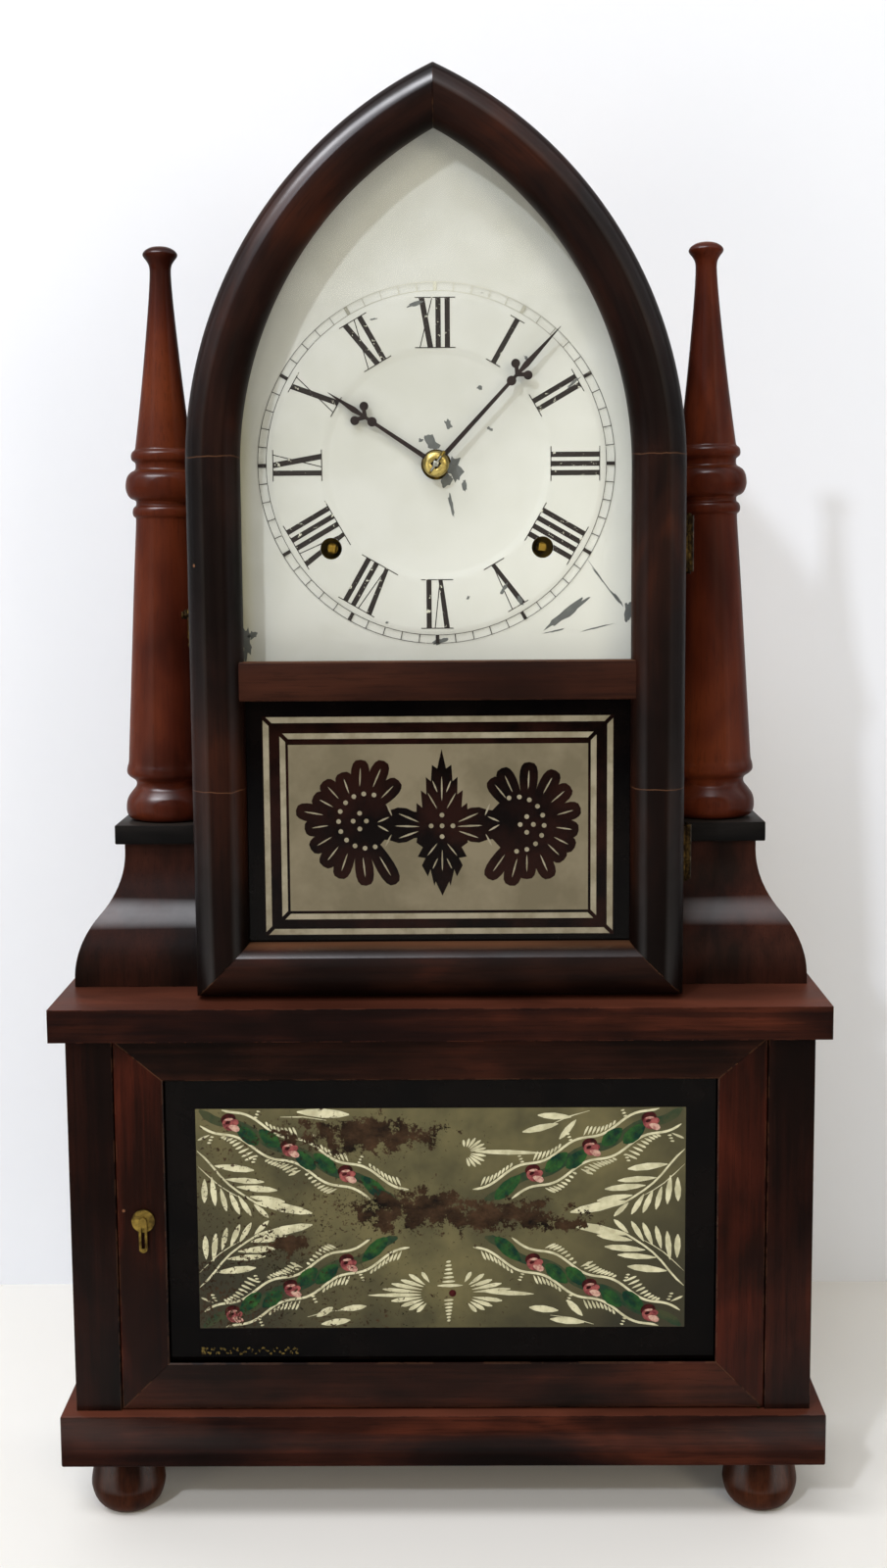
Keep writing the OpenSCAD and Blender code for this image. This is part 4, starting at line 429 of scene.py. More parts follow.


# Oil paint on a zinc dial: the eye gets a warm white, even and nearly matt, yellowed at its left edge
# and painted lighter towards its lower right, as painted light where the lamps leave it darker
def dial_enamel():
    finish, tree, place = new_finish("dial_oil_paint")
    x, _, z = add(tree, "SeparateXYZ", {0: place}).outputs
    colour = add(tree, "Mix", {
        0: add(tree, "MapRange", {
            0: add(tree, "TexNoise", {
                "Vector": add(tree, "Mapping", {"Vector": place, "Scale": (30, 30, 30)}), "Scale": 1.0,
                "Detail": 4.0, "Roughness": 0.6}), 1: 0.4, 2: 0.65}), 6: "#cbcac8", 7: "#c3c2be"
    }, data_type="RGBA").outputs[2]
    # Painted light: the paint turns lighter towards the lower right, standing in for light the lamps leave short
    # there
    painted_light_lower_right = add(tree, "Math", {
        0: add(tree, "Math", {0: x, 1: 6.0}, operation="MULTIPLY"),
        1: add(tree, "Math", {
            0: add(tree, "Math", {0: z, 1: CENTRE_Z * MM}, operation="SUBTRACT"), 1: 4.5}, operation="MULTIPLY")
    }, operation="SUBTRACT", use_clamp=True)
    colour = add(tree, "Mix", {0: painted_light_lower_right, 6: colour, 7: "#e4e3df"}, data_type="RGBA").outputs[2]
    old = add(tree, "Math", {
        0: add(tree, "Math", {0: -0.083, 1: x}, operation="SUBTRACT"), 1: 160.0
    }, operation="MULTIPLY", use_clamp=True)
    colour = add(tree, "Mix", {
        0: add(tree, "Math", {0: old, 1: 0.55}, operation="MULTIPLY"), 6: colour, 7: "#c9c19a"
    }, data_type="RGBA").outputs[2]
    specks = add(tree, "Math", {
        0: add(tree, "TexNoise", {
            "Vector": add(tree, "Mapping", {"Vector": place, "Scale": (700, 700, 700)}), "Scale": 1.0,
            "Detail": 3.0, "Roughness": 0.6}), 1: 0.755}, operation="GREATER_THAN")
    colour = add(tree, "Mix", {
        0: add(tree, "Math", {0: specks, 1: 0.6}, operation="MULTIPLY"), 6: colour, 7: "#8d8a7c"
    }, data_type="RGBA").outputs[2]
    brushed = add(tree, "Bump", {
        "Height": add(tree, "TexNoise", {
            "Vector": add(tree, "Mapping", {"Vector": place, "Scale": (160, 160, 160)}), "Scale": 1.0,
            "Detail": 3.0, "Roughness": 0.6}), "Strength": 0.1, "Distance": 0.0004})
    surface = add(tree, "BsdfPrincipled", {
        "Base Color": colour, "Normal": brushed, "Roughness": 0.5, "Specular IOR Level": 0.3})
    add(tree, "OutputMaterial", {"Surface": surface})
    return finish


# Printed dial ink: nearly black, with pinholes, and rubbed away towards the top of the minute track
def ink(name, rubbed_top):
    finish, tree, place = new_finish(name)
    worn = add(tree, "Math", {
        0: add(tree, "TexNoise", {
            "Vector": add(tree, "Mapping", {"Vector": place, "Scale": (420, 420, 420)}), "Scale": 1.0,
            "Detail": 5.0, "Roughness": 0.7}), 1: 0.63}, operation="GREATER_THAN")
    if rubbed_top:
        top = add(tree, "Mapping", {"Vector": place, "Location": (-0.006, 0.0, -0.572), "Scale": (1, 0, 1)})
        rub = add(tree, "Math", {
            0: 1.25,
            1: add(tree, "Math", {
                0: add(tree, "VectorMath", {0: top.outputs[0]}, operation="LENGTH").outputs["Value"], 1: 17.0
            }, operation="MULTIPLY")}, operation="SUBTRACT", use_clamp=True)
        worn = add(tree, "Math", {0: worn, 1: rub}, operation="MAXIMUM")
    surface = add(tree, "BsdfPrincipled", {
        "Base Color": add(tree, "Mix", {
            0: add(tree, "Math", {0: worn, 1: 0.85}, operation="MULTIPLY"), 6: "#221a19", 7: "#dbd8ca"
        }, data_type="RGBA").outputs[2], "Roughness": 0.5, "Specular IOR Level": 0.3})
    add(tree, "OutputMaterial", {"Surface": surface})
    return finish


# Bare zinc under the dial's paint: the eye gets a dull grey with darker oxide
def zinc():
    finish, tree, place = new_finish("oxidised_zinc")
    surface = add(tree, "BsdfPrincipled", {
        "Base Color": add(tree, "Mix", {
            0: add(tree, "TexNoise", {
                "Vector": add(tree, "Mapping", {"Vector": place, "Scale": (350, 350, 350)}), "Scale": 1.0,
                "Detail": 4.0, "Roughness": 0.6}), 6: "#494b4d", 7: "#6e7070"}, data_type="RGBA").outputs[2],
        "Roughness": 0.6})
    add(tree, "OutputMaterial", {"Surface": surface})
    return finish


cord_finish, pane_glass, dial_paint = laid_cord(), clear_glass(), dial_enamel()
dial_ink, track_ink, bare_zinc = ink("numeral_ink", False), ink("track_ink", True), zinc()
# Name, two colours, size of their patches, whether it flakes, roughness
black_paint = glass_paint("black_border_behind_glass", "#030202", "#080504", 30.0, False)
# Painted shade: the clear glass of the stencil's cut-outs is drawn as flat dark paint with reddish patches, standing
# for the shaded inside of the case
painted_case_shade = glass_paint("painted_shade_of_case_behind_clear_glass", "#080403", "#1c0c08", 26.0, False)
silver_leaf = glass_paint("tarnished_silver_leaf", "#6e6653", "#5f5846", 30.0, False, 0.16)
silver_line = glass_paint("silver_line", "#867f6c", "#736c59", 9.0, False, 0.12)
ground_paint = glass_paint("olive_ground", "#5e583c", "#43402d", 46.0, end_and_bottom_colour="#2a2922")
green_paint = glass_paint("green_oil_colour", "#10291f", "#284c22", 7.0)
deep_green = glass_paint("dark_green_glaze", "#383c28", "#1f3324", 9.0)
cream_paint = glass_paint("cream_oil_colour", "#c0bc9c", "#a29e80", 6.0)
pink_paint = glass_paint("rose_oil_colour", "#8a4c48", "#59262a", 2.5)
pale_paint = glass_paint("pale_rose_highlight", "#b59684", "#8d5f58", 2.0)
maroon_paint = glass_paint("dark_red_rose_heart", "#220a0a", "#3c1414", 3.0)
fleck_paint = glass_paint("gold_fleck", "#5d4f28", "#241b0c", 2.0, False)

FINISHES = {"dark_mahogany": board_wood, "red_mahogany": stile_wood, "ebonised_wood": ebony_wood,
            "finial_wood": finial_wood, "pine": pine_wood, "dial_paint": dial_paint, "clear_glass": pane_glass,
            "black_silver_glass": painted_case_shade, "painted_glass": black_paint, "old_brass": old_brass,
            "movement_brass": movement_brass, "bright_brass": bright_brass, "steel": steel,
            "hand_steel": hand_steel, "gong_steel": gong_steel, "spring_steel": spring_steel, "iron": iron,
            "cord": cord_finish}

# Nodes whose grain or colour differs from the rest of their material slot
OWN_FINISH = {"base_sides": side_wood, "lancet_case": moulding_wood, "waist_board": board_wood,
              "lancet_door_brasses": hinge_brass, "case_brasses": hinge_brass}
for part in frame["record"]["subparts"]:
    slots = nodes[part["node"]].data.materials
    slots.clear()
    slots.append(OWN_FINISH.get(part["node"], FINISHES[part["material_slot"]]))


# Adds a shape, drawn in millimetres, as a piece in metres that rides on its body
def piece(name, shape, finish, body="case", instead_of=(), smooth=True, sharp=32.0, solid=True):
    if solid:
        bmesh.ops.remove_doubles(shape, verts=shape.verts, dist=0.001)
        bmesh.ops.recalc_face_normals(shape, faces=shape.faces)
    bmesh.ops.scale(shape, vec=(MM, MM, MM), verts=shape.verts)
    for face in shape.faces:
        face.smooth = smooth
    for edge in shape.edges:
        if len(edge.link_faces) != 2 or edge.calc_face_angle(0.0) > radians(sharp):
            edge.smooth = False
    mesh = bpy.data.meshes.new(name)
    shape.to_mesh(mesh)
    shape.free()
    mesh.materials.append(finish)
    made = bpy.data.objects.new(name, mesh)
    bpy.context.scene.collection.objects.link(made)
    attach(made, body)
    if instead_of:
        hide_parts(*instead_of)
    return made


def rotation(degrees, axis):
    return Matrix.Rotation(radians(degrees), 4, axis)


# Moves all of a shape by one matrix after another
def moved(shape, *steps):
    for matrix in steps:
        bmesh.ops.transform(shape, matrix=matrix, verts=shape.verts)


def outline_face(shape, points):
    return bmesh.ops.contextual_create(shape, geom=[shape.verts.new(p) for p in points])["faces"][0]


# Lengthens a solid by pushing its end face out along a vector
def push(shape, face, by):
    grown = bmesh.ops.extrude_face_region(shape, geom=[face])["geom"]
    bmesh.ops.translate(shape, vec=by, verts=[v for v in grown if isinstance(v, bmesh.types.BMVert)])
    # The face that was pushed stays as the end of the first length only
    if any(len(edge.link_faces) > 2 for edge in face.edges):
        bmesh.ops.delete(shape, geom=[face], context="FACES_ONLY")
    return [f for f in grown if isinstance(f, bmesh.types.BMFace)][0]


# Cuts a solid off at a plane, and fills the cut
def sliced(shape, at, normal, dist):
    bmesh.ops.bisect_plane(shape, geom=shape.verts[:] + shape.edges[:] + shape.faces[:], dist=dist, plane_co=at,
                           plane_no=normal, clear_outer=True)
    bmesh.ops.holes_fill(shape, edges=[e for e in shape.edges if e.is_boundary], sides=0)


# Saw cut through all of a shape, which keeps the side that holds the point keep
def saw(shape, a, b, keep):
    a, b, keep = Vector(a), Vector(b), Vector(keep)
    normal = (b - a).cross(Vector((0, 1, 0))).normalized()
    if (keep - a).dot(normal) > 0:
        normal.negate()
    sliced(shape, a, normal, 0.0001)


# Outline across a moulding of the lancet door, as distances out from its inner edge and forward
def half_round():
    r = HALF_ROUND_R
    arc = [(r + r * cos(radians(a)), FRAME_BACK + r * sin(radians(a))) for a in range(0, 181, 6)]
    return [(REBATE_W, 0), (FRAME_W, 0)] + arc + [(0, REBATE_D), (REBATE_W, REBATE_D)]


# One side of the lancet door: the straight length bent over into its arc, mitred at both ends
def arch_moulding(word, side):
    shape, spare, apex_gap = bmesh.new(), 20, 0.04
    face = outline_face(shape, [(INNER_W + s, DOOR_BACK_Y - d, DOOR_Z - spare) for s, d in half_round()])
    for rise in (60, 130, SPRING_Z - DOOR_Z + spare - 190):
        face = push(shape, face, (0, 0, rise))
    bmesh.ops.spin(shape, geom=face.verts[:] + face.edges[:] + [face], cent=(-ARCH_OFF, 0, SPRING_Z),
                   axis=(0, -1, 0), angle=radians(70), steps=56, use_duplicate=False)
    saw(shape, (apex_gap, 0, SPRING_Z), (apex_gap, 0, SPRING_Z + 300), (90, 0, SPRING_Z))
    saw(shape, (ARCH_W / 2, 0, DOOR_Z + MITRE_GAP), (INNER_W, 0, DOOR_Z + FRAME_W + MITRE_GAP),
        (INNER_W + HALF_ROUND_R, 0, SPRING_Z))
    if side < 0:
        moved(shape, Matrix.Diagonal((-1, 1, 1, 1)))
    piece(f"lancet_door_{word}_half_round", shape, moulding_wood, "lancet_door", [f"lancet_door_{word}_moulding"])


# The lancet door's frame: two bent mouldings, the bottom rail mitred between them, and a cross bar
def lancet_door():
    arch_moulding("left", -1)
    arch_moulding("right", 1)
    shape = bmesh.new()
    top = DOOR_Z + FRAME_W
    face = outline_face(shape, [(-ARCH_W / 2 - 5, DOOR_BACK_Y - d, top - s) for s, d in half_round()])
    push(shape, face, (ARCH_W + 10, 0, 0))
    for side in (-1, 1):
        saw(shape, (side * (ARCH_W / 2 - MITRE_GAP), 0, DOOR_Z), (side * (INNER_W - MITRE_GAP), 0, top),
            (0, 0, DOOR_Z))
    piece("lancet_door_bottom_half_round", shape, rail_wood, "lancet_door", ["lancet_door_bottom_rail"])
    # The bar's front edges are rounded by 0.9 mm, and its ends are let into both mouldings
    shape, let_in = bmesh.new(), 2.2
    back, step = DOOR_BACK_Y, DOOR_BACK_Y - REBATE_D
    low, high, front = BAR_Z, BAR_Z + BAR_H, DOOR_BACK_Y - BAR_T
    section = [(back, low + REBATE_W), (back, high - REBATE_W), (step, high - REBATE_W), (step, high),
               (front + 0.9, high), (front + 0.3, high - 0.3), (front, high - 0.9), (front, low + 0.9),
               (front + 0.3, low + 0.3), (front + 0.9, low), (step, low), (step, low + REBATE_W)]
    face = outline_face(shape, [(-INNER_W - let_in, y, z) for y, z in section])
    push(shape, face, (2 * (INNER_W + let_in), 0, 0))
    piece("lancet_door_cross_rail", shape, bar_wood, "lancet_door", ["lancet_door_cross_bar"])


# One stick of the base door's flat frame: near is its edge at the glass, wide its width, ends its two
# ends, and out the direction away from the glass, as (x, z)
def base_stick(shape, near, wide, ends, out):
    front, back = BASE_Y, BASE_Y + BASE_T
    section = [(REBATE_W, back), (wide, back), (wide, front + 0.5), (wide - 0.5, front), (0.5, front),
               (0.0, front + 0.5), (0.0, front + 4.0), (REBATE_W, front + 4.0)]
    if out[0]:
        face = outline_face(shape, [(out[0] * (near + s), y, ends[0]) for s, y in section])
        push(shape, face, (0, 0, ends[1] - ends[0]))
    else:
        face = outline_face(shape, [(ends[0], y, near + out[1] * s) for s, y in section])
        push(shape, face, (ends[1] - ends[0], 0, 0))


# Base door: its outline, the opening for the glass, and half the seam at a mitre
def base_door():
    half, low, high = 148.02, 56.9, 231.4
    open_half, open_low, open_high = 125.72, 78.9, 212.6
    seam = 0.07
    sides, levels = bmesh.new(), bmesh.new()
    for side in (-1, 1):
        stick = bmesh.new()
        base_stick(stick, open_half, half - open_half, (low - 10, high + 10), (side, 0))
        middle = (side * (half - 5), 0, (low + high) / 2)
        saw(stick, (side * half, 0, high - seam), (side * open_half, 0, open_high - seam), middle)
        saw(stick, (side * half, 0, low + seam), (side * open_half, 0, open_low + seam), middle)
        if side < 0:
            bmesh.ops.reverse_faces(stick, faces=stick.faces)
        join(sides, stick)
    for near, edge, out in ((open_high, high, 1), (open_low, low, -1)):
        stick = bmesh.new()
        base_stick(stick, near, abs(edge - near), (-half - 10, half + 10), (0, out))
        for side in (-1, 1):
            saw(stick, (side * half, 0, edge + out * seam), (side * open_half, 0, near + out * seam),
                (0, 0, (near + edge) / 2))
        join(levels, stick)
    piece("base_door_upright_sticks", sides, stile_wood, "base_door", ["base_door_stiles"])
    piece("base_door_level_sticks", levels, frame_wood, "base_door", ["base_door_rails"])


# Moves all of one shape into another
def join(shape, other):
    spare = bpy.data.meshes.new("spare")
    other.to_mesh(spare)
    other.free()
    shape.from_mesh(spare)
    bpy.data.meshes.remove(spare)


# Box between two corners, with rounded edges
def block(shape, low, high, round_mm):
    low, high = Vector(low), Vector(high)
    made = bmesh.ops.create_cube(shape, size=1.0)["verts"]
    bmesh.ops.scale(shape, vec=high - low, verts=made)
    bmesh.ops.translate(shape, vec=(low + high) / 2, verts=made)
    edges = list({e for v in made for e in v.link_edges})
    bmesh.ops.bevel(shape, geom=edges, offset=round_mm, segments=2, affect="EDGES", profile=0.5, material=-1)


# The plinth, and the black blocks that the finials stand on
def boards():
    shape = bmesh.new()
    block(shape, (-BOARD_HALF, FRONT_Y, PLINTH_LOW_Z), (BOARD_HALF, -FRONT_Y, PLINTH_Z), 0.9)
    piece("plinth_board", shape, board_wood, "case", ["plinth"])
    shape = bmesh.new()
    for side in (-1, 1):
        inner, outer = sorted((side * BLOCK_IN_X, side * BLOCK_OUT_X))
        block(shape, (inner, 4.5, BLOCK_Z), (outer, BLOCK_BACK_Y, BLOCK_TOP_Z), 0.6)
    piece("finial_seat_blocks", shape, ebony_wood, "case", ["corner_blocks"])


# Ogee shoulders: their outline lifted in steps, each step drawn in along the two curved faces
def shoulders():
    shape = bmesh.new()
    foot_x, front, run, tall, radius = 172.0, 8.5, 21.5, BLOCK_Z - DECK_Z, 43.0
    reach = radius * sin(acos(1 - run / 2 / radius))
    middle = tall / 2
    steps = [0.0, middle - reach] + [middle - reach + reach * k / 12 for k in range(1, 25)] + [tall]

    def run_at(up):
        if up <= middle:
            return run - radius + sqrt(radius ** 2 - max(0.0, up - (middle - reach)) ** 2)
        return radius - sqrt(radius ** 2 - max(0.0, middle + reach - up) ** 2)

    for side in (-1, 1):
        out = foot_x - run
        face = outline_face(shape, [(side * x, y, DECK_Z) for x, y in (
            (BLOCK_IN_X, front - run), (foot_x, front - run), (foot_x, BLOCK_BACK_Y), (BLOCK_IN_X, BLOCK_BACK_Y))])
        for lower, upper in zip(steps, steps[1:]):
            face = push(shape, face, (0, 0, upper - lower))
            for vert in face.verts:
                if abs(vert.co.x) > BLOCK_IN_X + 1:
                    vert.co.x = side * (out + run_at(upper))
                if vert.co.y < BLOCK_BACK_Y - 5:
                    vert.co.y = front - run_at(upper)
    piece("ogee_shoulders", shape, shoulder_wood, "case", ["shoulders"])


# Turned work: a half outline as (radius, height), rounded off and spun about its axis
def rounded(points):
    for _ in range(2):
        cut = [points[0]]
        for a, b in zip(points, points[1:]):
            cut.append(tuple(0.75 * p + 0.25 * q for p, q in zip(a, b)))
            cut.append(tuple(0.25 * p + 0.75 * q for p, q in zip(a, b)))
        points = cut + [points[-1]]
    return points


def turned(shape, outline, at, steps=64, axis="z", lean=0.0):
    lathe = bmesh.new()
    line = [lathe.verts.new((r, 0, h)) for r, h in outline]
    edges = [lathe.edges.new(pair) for pair in zip(line, line[1:])]
    bmesh.ops.spin(lathe, geom=line + edges, cent=(0, 0, 0), axis=(0, 0, 1), angle=2 * pi, steps=steps,
                   use_merge=True, use_duplicate=False)
    if axis == "y":
        moved(lathe, rotation(90, "X"))
    moved(lathe, rotation(lean, "Y"), Matrix.Translation(at))
    join(shape, lathe)


# Finials, bun feet, and the hand collet with the arbor's squared end and its tapered pin
def turnings():
    # Finial: 271.6 mm tall and 20.6 mm in radius, its outline as shares of both
    tall, radius, seat = 271.6, 20.6, BLOCK_TOP_Z - 0.1
    shares = ((0, 0), (0.86, 0), (0.99, 0.008), (1.02, 0.022), (0.99, 0.038), (0.86, 0.052), (0.79, 0.058),
              (0.76, 0.064), (0.78, 0.071), (0.93, 0.078), (0.99, 0.084), (0.98, 0.094), (0.94, 0.102),
              (0.93, 0.12), (0.84, 0.26), (0.74, 0.42), (0.665, 0.52), (0.66, 0.532), (0.665, 0.534),
              (0.725, 0.537), (0.74, 0.545), (0.71, 0.552), (0.65, 0.555), (0.645, 0.561), (0.66, 0.564),
              (0.8, 0.568), (0.88, 0.58), (0.89, 0.592), (0.85, 0.606), (0.75, 0.614), (0.65, 0.617),
              (0.645, 0.627), (0.66, 0.63), (0.74, 0.634), (0.755, 0.641), (0.73, 0.648), (0.655, 0.652),
              (0.645, 0.657), (0.57, 0.7), (0.46, 0.77), (0.35, 0.85), (0.275, 0.91), (0.24, 0.95),
              (0.245, 0.966), (0.31, 0.975), (0.39, 0.982), (0.4, 0.987), (0.34, 0.993), (0.2, 0.9985), (0, 1))
    outline = rounded([(r * radius, z * tall) for r, z in shares])
    shape = bmesh.new()
    # The right one leans in by one degree, the left one by a third
    for side, lean in ((-1, 0.35), (1, -1.0)):
        turned(shape, outline, (side * 131.5, 29, seat), lean=lean)
    piece("turned_finials", shape, finial_wood, "case", ["finials"], sharp=55)
    foot = [(0, 0), (8.0, 0), (10.4, 0.2), (14.2, 3.0), (16.4, 7.0), (17.4, 11.0), (17.5, 13.5), (16.7, 18.5),
            (15.6, 24), (14.5, 29.5), (14.2, 31.4), (13.8, PLINTH_LOW_Z), (0, PLINTH_LOW_Z)]
    shape = bmesh.new()
    for x in (-150, 150):
        for y in (-30.5, 30.5):
            turned(shape, rounded(foot), (x, y, 0), 48)
    piece("turned_bun_feet", shape, foot_wood, "case", ["feet"], sharp=55)
    shape = bmesh.new()
    collet_y, arbor_end_y, pin_y, arbor_half = -26.5, -30.6, -29.2, 1.25
    dome = [(1.5, 0), (5.8, 0), (5.8, 0.7), (5.6, 1.2), (4.9, 1.75), (3.9, 2.1), (3.0, 2.2), (1.5, 1.9), (1.5, 0)]
    turned(shape, dome, (0, collet_y, CENTRE_Z), 48, "y")
    # Its hole is a square standing on one corner
    for vert in shape.verts:
        x, z = vert.co.x, vert.co.z - CENTRE_Z
        if hypot(x, z) < 2:
            wide = 2 * arbor_half / (abs(x) + abs(z))
            vert.co.x, vert.co.z = x * wide, CENTRE_Z + z * wide
    piece("domed_collet", shape, collet_brass, "minute_hand", ["hand_collet"])
    shape = bmesh.new()
    block(shape, (-arbor_half, arbor_end_y, -arbor_half), (arbor_half, arbor_end_y + 2.4, arbor_half), 0.45)
    moved(shape, rotation(12, "Y"), Matrix.Translation((0, 0, CENTRE_Z)))
    piece("squared_arbor_end", shape, steel, "minute_hand")
    shape = bmesh.new()
    turned(shape, [(0, -5.2), (0.55, -5.2), (0.6, 0), (0.85, 6.4), (0.5, 6.8), (0, 6.8)],
           (0, pin_y, CENTRE_Z), 16, lean=35)
    piece("tapered_collet_pin", shape, old_brass, "minute_hand")


# Embossed sheet dial: a flat pointed plate and a raised chapter ring, pierced for the arbors
def dial():
    shape = bmesh.new()
    half, radius = ARCH_W / 2 - DIAL_GAP, ARCH_R - DIAL_GAP
    top = acos(ARCH_OFF / radius)
    arc = [(radius * cos(top * k / 24) - ARCH_OFF, SPRING_Z + radius * sin(top * k / 24)) for k in range(25)]
    points = [(-half, BAR_Z - 4), (half, BAR_Z - 4)] + arc + [(-x, z) for x, z in reversed(arc[:-1])]
    rim = [shape.verts.new((x, DIAL_Y, z)) for x, z in points]
    rim_edges = [shape.edges.new(pair) for pair in zip(rim, rim[1:] + rim[:1])]

    def ring(radius, raised, at=(0, CENTRE_Z), steps=96):
        place = Matrix.Translation((at[0], DIAL_Y - raised, at[1])) @ rotation(90, "X")
        made = bmesh.ops.create_circle(shape, cap_ends=False, segments=steps, radius=radius, matrix=place)["verts"]
        return list(dict.fromkeys(e for v in made for e in v.link_edges))

    holes = [edge for x in (-WINDER_X, WINDER_X) for edge in ring(WINDER_R, RING_RAISE, (x, WINDER_Z), 32)]
    flat_out, high = 68, RING_RAISE
    for edges in (rim_edges + ring(RING_OUT, 0), ring(flat_out, high) + ring(RING_IN, high) + holes):
        bmesh.ops.triangle_fill(shape, use_beauty=True, normal=(0, -1, 0), edges=edges)
    for slope in ([(RING_OUT, 0), (78.0, 0.1), (76.6, 0.5), (75.2, 0.9), (73.8, high), (flat_out, high)],
                  [(RING_IN, high), (52.4, 0.97), (51.0, 0.7), (49.6, 0.25), (48.2, 0), (24.0, 0), (6.8, 0)]):
        turned(shape, slope, (0, DIAL_Y, CENTRE_Z), 96, "y")
    bmesh.ops.remove_doubles(shape, verts=shape.verts, dist=0.001)
    face_front(shape)
    plate = piece("embossed_dial_plate", shape, dial_paint, "case", ["dial"], sharp=60, solid=False)
    sheet = plate.modifiers.new("sheet", "SOLIDIFY")
    sheet.thickness, sheet.offset = DIAL_T * MM, -1


# Turns flat faces towards the front
def face_front(shape):
    bmesh.ops.reverse_faces(shape, faces=[f for f in shape.faces if f.normal.y > 0])


# Flat painted shapes in X and Z, each colour a hair in front of the one under it
def bar(shape, depth, a, b, wide_a, wide_b=None):
    a, b, depth = Vector(a), Vector(b), stepped(shape, depth)
    side = Vector((-(b - a).y, (b - a).x)).normalized() / 2
    wide_b = wide_a if wide_b is None else wide_b
    corners = [a + side * wide_a, a - side * wide_a, b - side * wide_b, b + side * wide_b]
    outline_face(shape, [(p.x, depth, p.y) for p in corners])


# Depth of the next flat shape, so that two that overlap never lie in one plane
def stepped(shape, depth):
    return depth - 0.001 * (len(shape.faces) % 43)


def patch(shape, depth, points):
    outline_face(shape, [(x, stepped(shape, depth), z) for x, z in points])


# Place of a disc of radius 1 laid in X and Z, with its half length, half width and slant
def laid(at, depth, long, wide, slant):
    return (Matrix.Translation((at[0], depth, at[1])) @ rotation(90, "X") @ rotation(slant, "Z")
            @ Matrix.Diagonal((long, wide, 1, 1)))


def disc(shape, steps, matrix=Matrix()):
    return bmesh.ops.create_circle(shape, cap_ends=True, segments=steps, radius=1.0, matrix=matrix)["verts"]


def spot(shape, depth, at, radius, steps=12, flat=1.0, slant=0.0):
    disc(shape, steps, laid(at, stepped(shape, depth), radius, radius * flat, slant))


# Leaf or petal from root to tip: pointed runs from 0, round, to 1, sharp; heavy moves its width to the tip
def leaf(shape, depth, root, tip, width, pointed=0.5, heavy=0.0, steps=12):
    root, tip, depth = Vector(root), Vector(tip), stepped(shape, depth)
    along = tip - root
    made = disc(shape, steps)
    for vert in made:
        x = vert.co.x
        vert.co.y *= max(1e-6, 1 - x * x) ** (0.5 * pointed) * (1 + heavy * x)
    place = laid((root + tip) / 2, depth, along.length / 2, width / 2, degrees(atan2(along.y, along.x)))
    bmesh.ops.transform(shape, matrix=place, verts=made)


# Ribbon along a line of points, thinned at both ends
def stroke(shape, depth, line, wide, thin_ends=True):
    line = [Vector(p) for p in line]
    last, edge = len(line) - 1, None
    for k, point in enumerate(line):
        ahead = line[min(k + 1, last)] - line[max(k - 1, 0)]
        side = Vector((-ahead.y, ahead.x)).normalized() * wide / 2
        if thin_ends and k in (0, last):
            side *= 0.3
        ends = [(point.x + side.x, depth, point.y + side.y), (point.x - side.x, depth, point.y - side.y)]
        if edge is None:
            edge, was = shape.edges.new([shape.verts.new(p) for p in ends]), ends
            continue
        old = edge.verts[:]
        left_first = (old[0].co - Vector(was[0])).length < 1e-4
        grown = bmesh.ops.extrude_edge_only(shape, edges=[edge])["geom"]
        edge = [e for e in grown if isinstance(e, bmesh.types.BMEdge)][0]
        start = old[0] if left_first else old[1]
        for vert in edge.verts:
            vert.co = ends[0] if (vert.co - start.co).length < 1e-7 else ends[1]
        was = ends


# Adds a layer of paint, which is flat and rides on its body
def painted(name, shape, finish, body):
    face_front(shape)
    return piece(name, shape, finish, body, smooth=False, solid=False)


# Cuts the two winding holes out of flat shapes that lie over them
def pierce(shape):
    sides, reach = 16, 15
    for x in (-WINDER_X, WINDER_X):
        at = Vector((x, 0, WINDER_Z))

        def away(face):
            middle = face.calc_center_median()
            return hypot(middle.x - x, middle.z - WINDER_Z)

        for k in range(sides):
            out = Vector((cos(2 * pi * k / sides), 0, sin(2 * pi * k / sides)))
            near = [f for f in shape.faces if away(f) < reach]
            geom = near + list(dict.fromkeys([e for f in near for e in f.edges] + [v for f in near for v in f.verts]))
            bmesh.ops.bisect_plane(shape, geom=geom, dist=1e-4, plane_co=at + out * WINDER_R, plane_no=out)
        bmesh.ops.delete(shape, geom=[f for f in shape.faces if away(f) < WINDER_R], context="FACES")


# Point of the dial at an angle clockwise from the top
def dial_point(radius, angle):
    return (radius * sin(radians(angle)), CENTRE_Z + radius * cos(radians(angle)))


